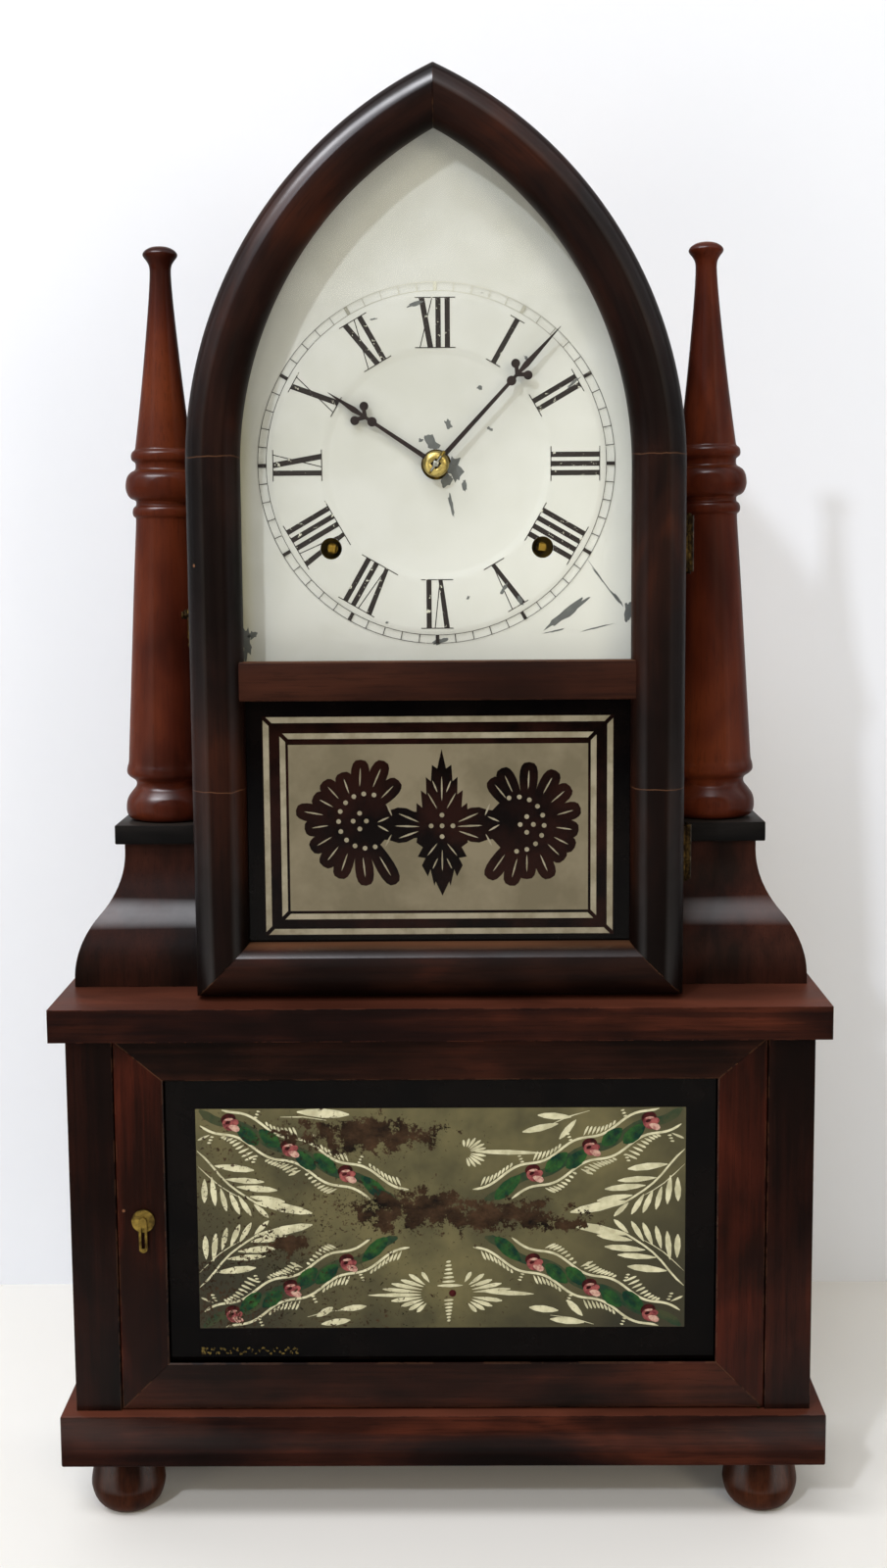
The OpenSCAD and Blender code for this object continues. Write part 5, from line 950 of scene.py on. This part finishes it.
# Roman numerals with their feet to the centre, thick and thin strokes, and hairline serifs
def numerals():
    shape = bmesh.new()
    depth, low, high = DIAL_Y - RING_RAISE - 0.05, 51.8, 73.8
    widths = {"I": 4.1, "V": 7.4, "X": 6.8}
    for hour, word in enumerate(("XII", "I", "II", "III", "IIII", "V", "VI", "VII", "VIII", "IX", "X", "XI")):
        turn = radians(-30 * hour)

        def on_dial(t, r):
            return (t * cos(turn) - r * sin(turn), CENTRE_Z + t * sin(turn) + r * cos(turn))

        total = sum(widths[letter] for letter in word)
        at = -total / 2
        for letter in word:
            middle, half = at + widths[letter] / 2, widths[letter] / 2 - 1.25
            if letter == "I":
                bar(shape, depth, on_dial(middle, low), on_dial(middle, high), 2.35)
            elif letter == "V":
                bar(shape, depth, on_dial(middle + 0.5, low), on_dial(middle - half, high), 1.9, 2.5)
                bar(shape, depth, on_dial(middle + 0.7, low), on_dial(middle + half + 0.6, high), 0.45)
            else:
                bar(shape, depth, on_dial(middle + half - 0.2, low), on_dial(middle - half + 0.2, high), 2.5)
                bar(shape, depth, on_dial(middle - half - 0.6, low), on_dial(middle + half + 0.6, high), 0.45)
            at += widths[letter]
        for r in (low, high):
            bar(shape, depth - 0.01, on_dial(-total / 2 - 1.6, r), on_dial(total / 2 + 1.6, r), 0.42)
    pierce(shape)
    painted("chapter_numerals", shape, dial_ink, "case")


# Minute track: two hairline circles, sixty ticks, and a block at every fifth
def minute_track():
    shape, depth, inner, outer = bmesh.new(), DIAL_Y - 0.62, 76.9, 80.7
    for radius in (inner, outer):
        stroke(shape, depth, [dial_point(radius, angle) for angle in range(0, 361, 3)], 0.22, False)
    for minute in range(60):
        bar(shape, depth - 0.01, dial_point(inner, 6 * minute), dial_point(outer, 6 * minute),
            0.32 if minute % 5 else 1.6)
    painted("minute_track", shape, track_ink, "case")


# Chips where the paint has left the zinc: place from the centre, half length, half width, slant
def paint_chips():
    shape = bmesh.new()
    for seed, (x, z, long, wide, slant) in enumerate((
            (8.2, -1.6, 5.6, 3, 98), (-1.6, 9.3, 4.6, 2.6, 130), (5.5, 18, 2, 1.5, 120), (-6.9, 10.9, 1.1, 0.8, 0),
            (4.7, -7.2, 2.9, 1.9, 60), (12.8, -9.8, 2.8, 0.9, 100), (6.9, -18.8, 5.2, 0.8, 100), (20, 34, 1.2, 1, 20),
            (24.2, 15.7, 1.3, 0.8, 160), (59, -67.5, 10.4, 1.7, 38), (87.2, -67, 4.8, 1.9, 84),
            (82, -61, 4.4, 0.7, 128), (74, -51, 9.5, 0.45, 126), (53.5, -75.5, 5, 0.35, 12), (73, -74, 6.5, 0.35, 14),
            (-87.4, -80, 7, 2.4, 92), (-84.6, -76.5, 2.2, 1.4, 40), (-15.4, 141.5, 2.9, 1.9, 60),
            (19.6, 75, 1.8, 0.5, 20), (-8.6, 71, 4.6, 0.8, 15), (-27.5, 64.5, 1.6, 0.4, 10), (36, -92, 1.2, 1.6, 0),
            (62, 35.8, 3.2, 0.6, 40), (41, 46.5, 2, 0.6, 130), (30.5, -56, 2.6, 0.8, 60), (37.5, -61, 2.4, 1.2, 120),
            (1.4, -79.6, 3.6, 1.2, 20), (-23, -71, 0.8, 0.5, 0), (14, -60.2, 0.9, 0.5, 50))):
        depth = DIAL_Y - RING_RAISE - 0.08 if 48 < hypot(x, z) < 77 else DIAL_Y - 0.07
        made = disc(shape, 22)
        for vert in made:
            vert.co *= 1 + 0.75 * noise.noise(Vector((vert.co.x * 1.9, vert.co.y * 1.9, seed * 3.7)))
        bmesh.ops.transform(shape, matrix=laid((x, CENTRE_Z + z), depth, long, wide, slant), verts=made)
    pierce(shape)
    painted("dial_paint_chips", shape, bare_zinc, "case")


# Direction at an angle in the picture's plane
def towards(angle):
    return Vector((cos(radians(angle)), sin(radians(angle))))


# Upper tablet: silver lines and a silver panel, with two open flowers and a toothed leaf left as clear glass, drawn
# as painted shade of the case behind it: flat dark paint with reddish patches
def stencil():
    lines_y, dark_y, light_y = [PANE_Y - 0.05 * k for k in (1, 2, 3)]
    shape = bmesh.new()
    gap = 1.3
    for half, low, high, wide in ((79.2, 276.2, 376.2, 2.7), (71.7, 283.3, 368.8, 2.6)):
        for sign, z in ((1, high), (-1, low)):
            patch(shape, lines_y, [(-half + gap, z), (half - gap, z), (half - gap - wide, z - sign * wide),
                                   (-half + gap + wide, z - sign * wide)])
            patch(shape, lines_y, [(sign * half, low + gap), (sign * half, high - gap),
                                   (sign * (half - wide), high - gap - wide),
                                   (sign * (half - wide), low + gap + wide)])
    painted("silver_lines", shape, silver_line, "lancet_door")
    shape = bmesh.new()
    half, low, high = 86.9, 272.9, 383.9
    in_half, in_low, in_high = 79.6, 275.8, 376.6
    for sign, z, inner in ((1, high, in_high), (-1, low, in_low)):
        patch(shape, lines_y, [(-half, z), (half, z), (in_half, inner), (-in_half, inner)])
        patch(shape, lines_y, [(sign * x, z) for x, z in ((half, low), (half, high), (in_half, in_high),
                                                          (in_half, in_low))])
    painted("black_border", shape, black_paint, "lancet_door")
    shape = bmesh.new()
    half, low, high = 67.9, 287.2, 363.6
    patch(shape, lines_y, [(-half, low), (half, low), (half, high), (-half, high)])
    painted("silver_panel", shape, silver_leaf, "lancet_door")
    dark, light = bmesh.new(), bmesh.new()

    def vein(a, b, wide=0.75):
        leaf(light, light_y, a, b, wide, 0.6, 0, 8)

    def dot(at):
        spot(light, light_y, at, 1.1, 10)

    # Open flowers: centre, direction and reach of each petal, then the ring of dots and the inner four
    for centre, petals, ring_at, dots, first, step, four_at in (
            ((-36.3, 328.7), (
                (45, 26), (66.6, 29.8), (87.5, 28), (108.6, 23.4), (131.3, 24.1), (151, 23.4), (170, 28.9),
                (188.4, 24.9), (210.7, 25.5), (231.6, 26.6), (250.7, 28.1), (276, 30.1), (299.6, 33.7)),
             (-32.9, 328.6), 11, 72.7, 21.6, (-35.8, 328.6)),
            ((40.1, 327.1), (
                (-125, 31), (-105.3, 29.7), (-90, 25.7), (-67, 27.6), (-45, 23.9), (-27.3, 24.5), (-8, 23.8),
                (15.7, 25.4), (40.7, 25.9), (61.2, 27.5), (87.5, 28.1), (114.3, 27.8), (128.9, 26.3)),
             (35.5, 326.8), 10, 106, -21.8, (40.1, 326.6))):
        centre = Vector(centre)
        spot(dark, dark_y, centre, 14.5, 28)
        for angle, reach in petals:
            aim = towards(angle)
            leaf(dark, dark_y, centre + aim * 7, centre + aim * reach, 7.9, -0.3, 0.34, 20)
            vein(centre + aim * reach * 0.56, centre + aim * reach * 0.87)
        for k in range(dots):
            dot(Vector(ring_at) + 12.5 * towards(first + step * k))
        for dx, dz in ((0, 3.6), (3, 0), (-3, 0), (0, -3.6)):
            dot((four_at[0] + dx, four_at[1] + dz))
    # Links between the flowers and the leaf, with three lines and an arrow head on each
    for side in (-1, 1):
        patch(dark, dark_y, [(side * x, 326.6 + z) for x, z in (
            (34, 13), (28.5, 10.8), (24.5, 6.6), (22, 6.9), (18.4, 8.1), (14.6, 7.8), (11.2, 6.2), (6.6, 5.6),
            (6.6, -5.4), (11.2, -6), (14.6, -7.8), (18.4, -8.2), (22, -7), (24.5, -6.6), (28.5, -11), (34, -13))])
        for a, b in (((18.2, 332), (8.8, 327.9)), ((19.9, 326.3), (8.5, 325.9)), ((18.2, 320.6), (9, 323.8)),
                     ((27.7, 328), (22.3, 330.4)), ((27.7, 326.6), (22.6, 323.7)), ((23.4, 336.3), (21.1, 330.8)),
                     ((21.4, 322.4), (24.4, 316.6))):
            vein((side * a[0], a[1]), (side * b[0], b[1]), 0.9)
    # Toothed leaf: its outline from the upper tip down one side, then back up the other
    axis = 1.6
    teeth = ((2, 352.4), (4.4, 354.1), (4.9, 346.6), (7.2, 348.6), (7, 340.6), (9.5, 342.5), (8.9, 334.6),
             (11.5, 336.7), (11.6, 329.5), (10.8, 325), (11.7, 318.5), (8.8, 316.4), (11.2, 312), (7.6, 311.4),
             (9.3, 308), (5.4, 306.2), (6.6, 302.9), (3.1, 300.6), (3.7, 298.5))
    patch(dark, dark_y, [(axis, 361.3)] + [(axis - x, z) for x, z in teeth] + [(axis, 294)]
          + [(axis + x, z) for x, z in reversed(teeth)])
    vein((axis, 337.5), (axis, 349))
    vein((axis, 315.4), (axis, 305.4))
    for side in (-1, 1):
        for a, b in (((2.2, 334), (6.4, 341.4)), ((2, 341.5), (4.2, 347)), ((2.2, 318.2), (6.8, 312.4)),
                     ((2, 311.4), (4.4, 306.4))):
            vein((axis + side * a[0], a[1]), (axis + side * b[0], b[1]))
    for dx, dz in ((0, 0), (0, 4.95), (0, -4.95), (4.95, 0), (-4.95, 0)):
        dot((axis + dx, 326.2 + dz))
    # The flowers and the leaf are painted shade: the shaded case seen through clear glass
    painted("flowers_painted_case_shade", dark, painted_case_shade, "lancet_door")
    painted("silver_veins_and_dots", light, silver_line, "lancet_door")


# Base tablet: four rose garlands in a cross, fern sprays at both sides and fans between them
def painting():
    ground_y, glaze_y, cream_y, green_y, heart_y, pink_y, pale_y = [BASE_PANE_Y - 0.05 * k for k in range(1, 8)]
    shape = bmesh.new()
    half, low, high = 111.8, 94.2, 198.5
    patch(shape, ground_y, [(-half, low), (half, low), (half, high), (-half, high)])
    painted("olive_ground", shape, ground_paint, "base_door")
    cream, green, glaze, pink, pale, heart = (bmesh.new() for _ in range(6))

    def inside(p):
        return abs(p[0]) < half - 0.4 and low + 0.6 < p[1] < high - 0.5

    # One brush stroke: its thin tail, its round head, its width
    def drop(tail, head, wide, pointed=0.45, heavy=0.45):
        if inside(tail) and inside(head):
            leaf(cream, cream_y, tail, head, wide, pointed, heavy, 10)

    for sx in (-1, 1):
        for sz in (-1, 1):
            # Point of a garland: x from the panel's middle, off towards its outer side
            def run(x, off=0.0):
                wave = 1.5 * sin(x * 2 * pi / 26.5 - 0.9)
                return Vector((sx * (x - 0.42 * off), TABLET_Z + sz * (16.4 + (x - 34) * 0.462 + wave + 0.91 * off)))

            def there(x, dz):
                return Vector((sx * x, TABLET_Z + sz * dz))

            stroke(glaze, glaze_y, [run(20 + 90 * k / 30) for k in range(31)], 4.0)
            for edge, start in ((-1, 30), (1, 17)):
                line = [run(start + (113 - start) * k / 44, edge * 5.7) for k in range(45)]
                stroke(cream, cream_y, [p for p in line if inside(p)], 1.1)
            # Fringe: combs of growing strokes along both lines, with a column of dashes between two combs
            for comb, (start, count) in enumerate(((44, 8), (62, 9), (82, 9), (100, 7))):
                for k in range(count):
                    size = 2.4 + 4.4 * k / count
                    tail = run(start + 14 - k * 1.75 - size * 0.2, -6.4 - 0.12 * k)
                    drop(tail, tail + Vector((sx * 0.94, -sz * 0.42)) * (size if comb else size * 0.85), 1.05)
                for k in range(3):
                    tail = run(start + 18.2, -7.6 - 1.5 * k)
                    drop(tail, tail + Vector((sx * 2, 0)), 0.8)
            for comb, (start, count) in enumerate(((21, 8), (45, 7), (68, 8), (92, 5))):
                for k in range(count):
                    size = 5.2 - 2.8 * k / count
                    tail = run(start + k * 1.9, 6.6)
                    drop(tail, tail + Vector((sx * 0.42, sz * 0.9)) * size, 1.0)
                for k in range(3):
                    tail = run(start + count * 1.9 + 3, 7.0 + 1.5 * k)
                    drop(tail, tail + Vector((sx * 1.8, sz * 0.4)), 0.8)
            # Dark leaves in pairs between three roses, each with a vein
            for x, off, far, far_off in (
                    (24, -1.5, 37, 1.2), (48, 0.4, 59, 2.6), (56, -3, 67, -0.4), (74, 0.8, 84, 2.8),
                    (82, -3.2, 93, -0.6), (101, 1, 112, 3.4), (104, -3, 112, -0.8)):
                root, tip = run(x, off), run(far, far_off)
                if inside(tip):
                    leaf(green, green_y, tip, root, 6.4, 0.35, 0.15)
                    stroke(heart, green_y - 0.045, [root.lerp(tip, 0.1), root.lerp(tip, 0.75)], 0.3)
            for x in (43, 69, 96):

                def near(dx, dz):
                    return run(x, 0.4) + Vector((dx, dz))

                spot(heart, heart_y, near(-0.9, 1.7), 3.5, 16, 0.78, 15)
                spot(pink, pink_y, near(-0.2, -0.7), 3.5, 16, 0.85, -20)
                leaf(pale, pale_y, near(-0.8, -1.4), near(4.2, -3.4), 3.0, 0.1, 0.3, 10)
                leaf(pale, pale_y, near(-2.6, 1.4), near(1.4, 1.9), 1.2, 0.3, 0.2, 8)
                leaf(pink, pale_y, near(0.4, 0.6), near(3.9, 0.2), 2.6, 0.1, 0.2, 10)
                spot(heart, pale_y - 0.045, near(-1.2, 0.2), 1.25, 10, 0.6, 25)
            # Fern: a stem from the outer edge, level leaves towards the garland and hanging ones below
            for wide, stem in ((0.9, ((111.4, 32.4), (108, 29.2), (104.6, 25.2), (101, 20.6), (97, 16.4), (93, 13.2),
                                      (88, 9.8), (84, 7.2), (80, 5.6))),
                               (0.4, ((111.4, 25.4), (107, 21), (102, 16.4), (97, 13), (92, 10.2)))):
                stroke(cream, cream_y, [there(x, dz) for x, dz in stem], wide)
            for x, dz, far, far_dz, wide in (
                    (104, 25.4, 85, 23.1, 3.8), (99, 19, 80.5, 17.6, 3.1), (94, 15.4, 74.5, 13.6, 3.5),
                    (88, 10.8, 71, 8.1, 3.4), (86, 8.2, 58.5, 2.6, 4.8), (108.2, 19.4, 108.5, 7.6, 3.3),
                    (105, 20.4, 103.5, 6.1, 3.1), (101, 15, 98.3, 3.6, 2.8), (97, 13.2, 92.3, 2.1, 3.0),
                    (93, 11.4, 87, 1.4, 2.8), (86, 7.4, 79, 0.6, 2.6)):
                drop(there(x, dz), there(far, far_dz), wide * 0.9, 0.75, 0.2)

    # Double burst below the middle: tail and head of each petal
    for sx, shift in ((-1, 0), (1, 5)):
        for x, z, far, far_z, wide in (
                (5.5, 115.8, 9.2, 121, 2.3), (7.4, 114.6, 15.2, 120, 2.4), (8, 113.8, 19, 117.2, 2.3),
                (8.6, 112.4, 23.4, 115.4, 2.3), (9, 111.2, 27.6, 112.8, 2.2), (9, 108.8, 23.6, 107, 2.5),
                (8.6, 107.8, 19, 104.4, 2.3), (8, 106.8, 15.4, 102.6, 2.3), (7, 106, 11.6, 101.6, 2.3)):
            drop((sx * x + shift, z), (sx * far + shift * (1 - 0.1 * sx), far_z), wide * 0.8, 0.6, 0.6)
    drop((-9, 110), (-34.5, 109.8), 1.9, 0.9, -0.2)
    drop((19, 111.3), (43, 110.2), 2.3, 0.9, 0.0)
    # Small burst above the middle, opening to the right
    middle = Vector((11, 177.6))
    for angle, reach in ((95, 6), (72, 7), (54, 8.5), (38, 9.5), (24, 10), (12, 10), (-10, 10), (-24, 10),
                         (-38, 9.5), (-54, 8.5), (-72, 7)):
        drop(middle + towards(angle) * 2.6, middle + towards(angle) * reach, 1.25)
    drop((15, 178), (47, 177.2), 2.3, 0.9, -0.2)
    # Column of level strokes through the double burst
    for z, wide in ((125.8, 1.1), (124, 1.5), (122.1, 1.8), (120.2, 2.1), (118.3, 2.6), (116.3, 3.1), (107.4, 2.3),
                    (105.6, 2.1), (103.9, 1.8), (102.3, 1.6), (100.7, 1.3), (99.1, 1.0), (97.6, 0.8)):
        drop((3.2 - wide, z - 0.2), (3.2 + wide, z + 0.2), 1.1, 0.3, 0.2)
    drop((10, 114.5), (-2.2, 114.3), 1.5, 0.5, 0.1)
    spot(heart, green_y, (5, 110.7), 1.7, 12)
    # Corner sprigs: two thin stems, then tail, head and width of each leaf
    for a, b in (((68, 197), (49, 190)), ((-73, 194.6), (-52, 193)), ((70, 95.6), (50, 100)),
                 ((-62, 99.5), (-44, 103))):
        a, b = Vector(a), Vector(b)
        stroke(cream, cream_y, [a, a.lerp(b, 0.5) + Vector((0, 0.8)), b], 0.6)
    for a, b, wide in (((60, 194), (44, 195), 3.2), ((54, 191), (37, 187), 3.2), ((62, 193), (54, 183.5), 2.8),
                       ((-66, 197), (-41, 195.6), 4.4), ((54, 102.2), (40, 103.8), 3.4),
                       ((66, 96.4), (49.5, 98.2), 3.2), ((65, 99.5), (57.5, 107.5), 3.2),
                       ((-47, 103), (-34.5, 104.6), 2.9), ((-56, 96), (-42, 98), 3.2),
                       ((-58, 99.6), (-50, 104.2), 3.2)):
        drop(a, b, wide, 0.7, 0.1)
    for name, shape, finish in (("garland_glaze", glaze, deep_green), ("cream_brushwork", cream, cream_paint),
                                ("garland_leaves", green, green_paint), ("rose_hearts", heart, maroon_paint),
                                ("rose_petals", pink, pink_paint), ("rose_highlights", pale, pale_paint)):
        painted(name, shape, finish, "base_door")
    # Gold flecks left on the black border, below the panel's left corner
    shape = bmesh.new()
    for k in range(90):
        x = -111 + 44 * (0.5 + 0.5 * sin(k * 12.9898)) ** 1.4
        z = 83.2 + 1.4 * sin(k * 78.233)
        spot(shape, ground_y, (x, z), 0.25 + 0.5 * abs(sin(k * 3.1)), 6, 0.6, k * 41)
    painted("gold_flecks", shape, fleck_paint, "base_door")


# The leaf spring in two halves, each running from its clamped middle to its shackle
def bending_spring():
    for side, word in ((1, "time"), (-1, "strike")):
        shape = bmesh.new()
        shape.from_mesh(nodes["leaf_spring"].data)
        bmesh.ops.remove_doubles(shape, verts=shape.verts, dist=1e-6)
        sliced(shape, (0, 0, 0), (-side, 0, 0), 1e-7)
        # Cuts every 10 mm give it points to bend at
        for k in range(3, 11):
            bmesh.ops.bisect_plane(shape, geom=shape.verts[:] + shape.edges[:] + shape.faces[:], dist=1e-7,
                                   plane_co=(side * k * 0.01, 0, 0), plane_no=(1, 0, 0))
        bmesh.ops.scale(shape, vec=(1 / MM, 1 / MM, 1 / MM), verts=shape.verts)
        half = piece(word + "_half_of_leaf_spring", shape, spring_steel, "case", ["leaf_spring"],
                     sharp=20)
        half.parent = None
        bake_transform(half)


# Plain room: a pale table and wall, the wall seen only from its front
def room():
    far, wall_y, low = 3.0, 0.248, -0.0005
    for name, colour, facing, points in (
            ("table_top", "#f1efe8", (0, 0, 1), [(-far, -far, low), (far, -far, low), (far, wall_y, low),
                                                 (-far, wall_y, low)]),
            ("wall", "#e2e5e9", (0, -1, 0), [(-far, wall_y, low), (far, wall_y, low), (far, wall_y, far),
                                             (-far, wall_y, far)])):
        shape = bmesh.new()
        flat = outline_face(shape, points)
        flat.normal_update()
        if flat.normal.dot(Vector(facing)) < 0:
            flat.normal_flip()
        mesh = bpy.data.meshes.new(name)
        shape.to_mesh(mesh)
        shape.free()
        finish, tree = new_finish(name + "_paint")[:2]
        paint = add(tree, "BsdfPrincipled", {"Base Color": colour, "Roughness": 0.85, "Specular IOR Level": 0.05})
        if name == "wall":
            behind = add(tree, "NewGeometry").outputs["Backfacing"]
            clear = add(tree, "BsdfTransparent")
            paint = add(tree, "MixShader", {0: behind, 1: paint.outputs[0], 2: clear})
        add(tree, "OutputMaterial", {"Surface": paint})
        mesh.materials.append(finish)
        made = bpy.data.objects.new(name, mesh)
        bpy.context.scene.collection.objects.link(made)


# A small window lamp at the upper left casts the shadows, a wide ceiling lamp lies in the polish as the
# streak on the arch and the bloom on the shoulders, three weak ones fill in, and the room is evenly pale
def lights():
    for name, at, aim, size, watts, colour in (
            ("window_light", (-1.02, -2.4, 1.86), (0, 0, 0.4), (0.135, 0.135), 29, "#eef3ff"),
            ("front_light", (0.15, -1.75, 1.2), (0, 0, 0.4), (0.9, 0.9), 6, "#fff6e6"),
            ("ceiling_light", (-1.05, -1.66, 2.95), (-0.45, -0.3, 0.4), (2.7, 0.55), 70, "#f6f6fc"),
            ("fill_light", (0.9, -1.7, 0.75), (0, 0, 0.35), (0.6, 0.6), 7.5, "#fff3de"),
            ("low_fill_light", (-1.0, -1.6, 0.45), (0, 0, 0.4), (0.6, 0.6), 4, "#fff3de")):
        light = bpy.data.lights.new(name, "AREA")
        light.shape, light.size, light.size_y = "RECTANGLE", *size
        light.energy, light.color = watts, linear(colour)[:3]
        lamp = bpy.data.objects.new(name, light)
        bpy.context.scene.collection.objects.link(lamp)
        aimed = (Vector(aim) - Vector(at)).to_track_quat("-Z", "Y").to_matrix().to_4x4()
        lamp.matrix_world = Matrix.Translation(at) @ aimed
    world = bpy.data.worlds.new("pale_room")
    bpy.context.scene.world = world
    world.use_nodes = True
    tree = world.node_tree
    tree.nodes.clear()
    plain = add(tree, "Background", {"Color": "#f4f6fb", "Strength": 0.17})
    add(tree, "OutputWorld", {"Surface": plain.outputs[0]})


lancet_door()
base_door()
boards()
shoulders()
turnings()
dial()
numerals()
minute_track()
paint_chips()
stencil()
painting()
bending_spring()
room()
lights()
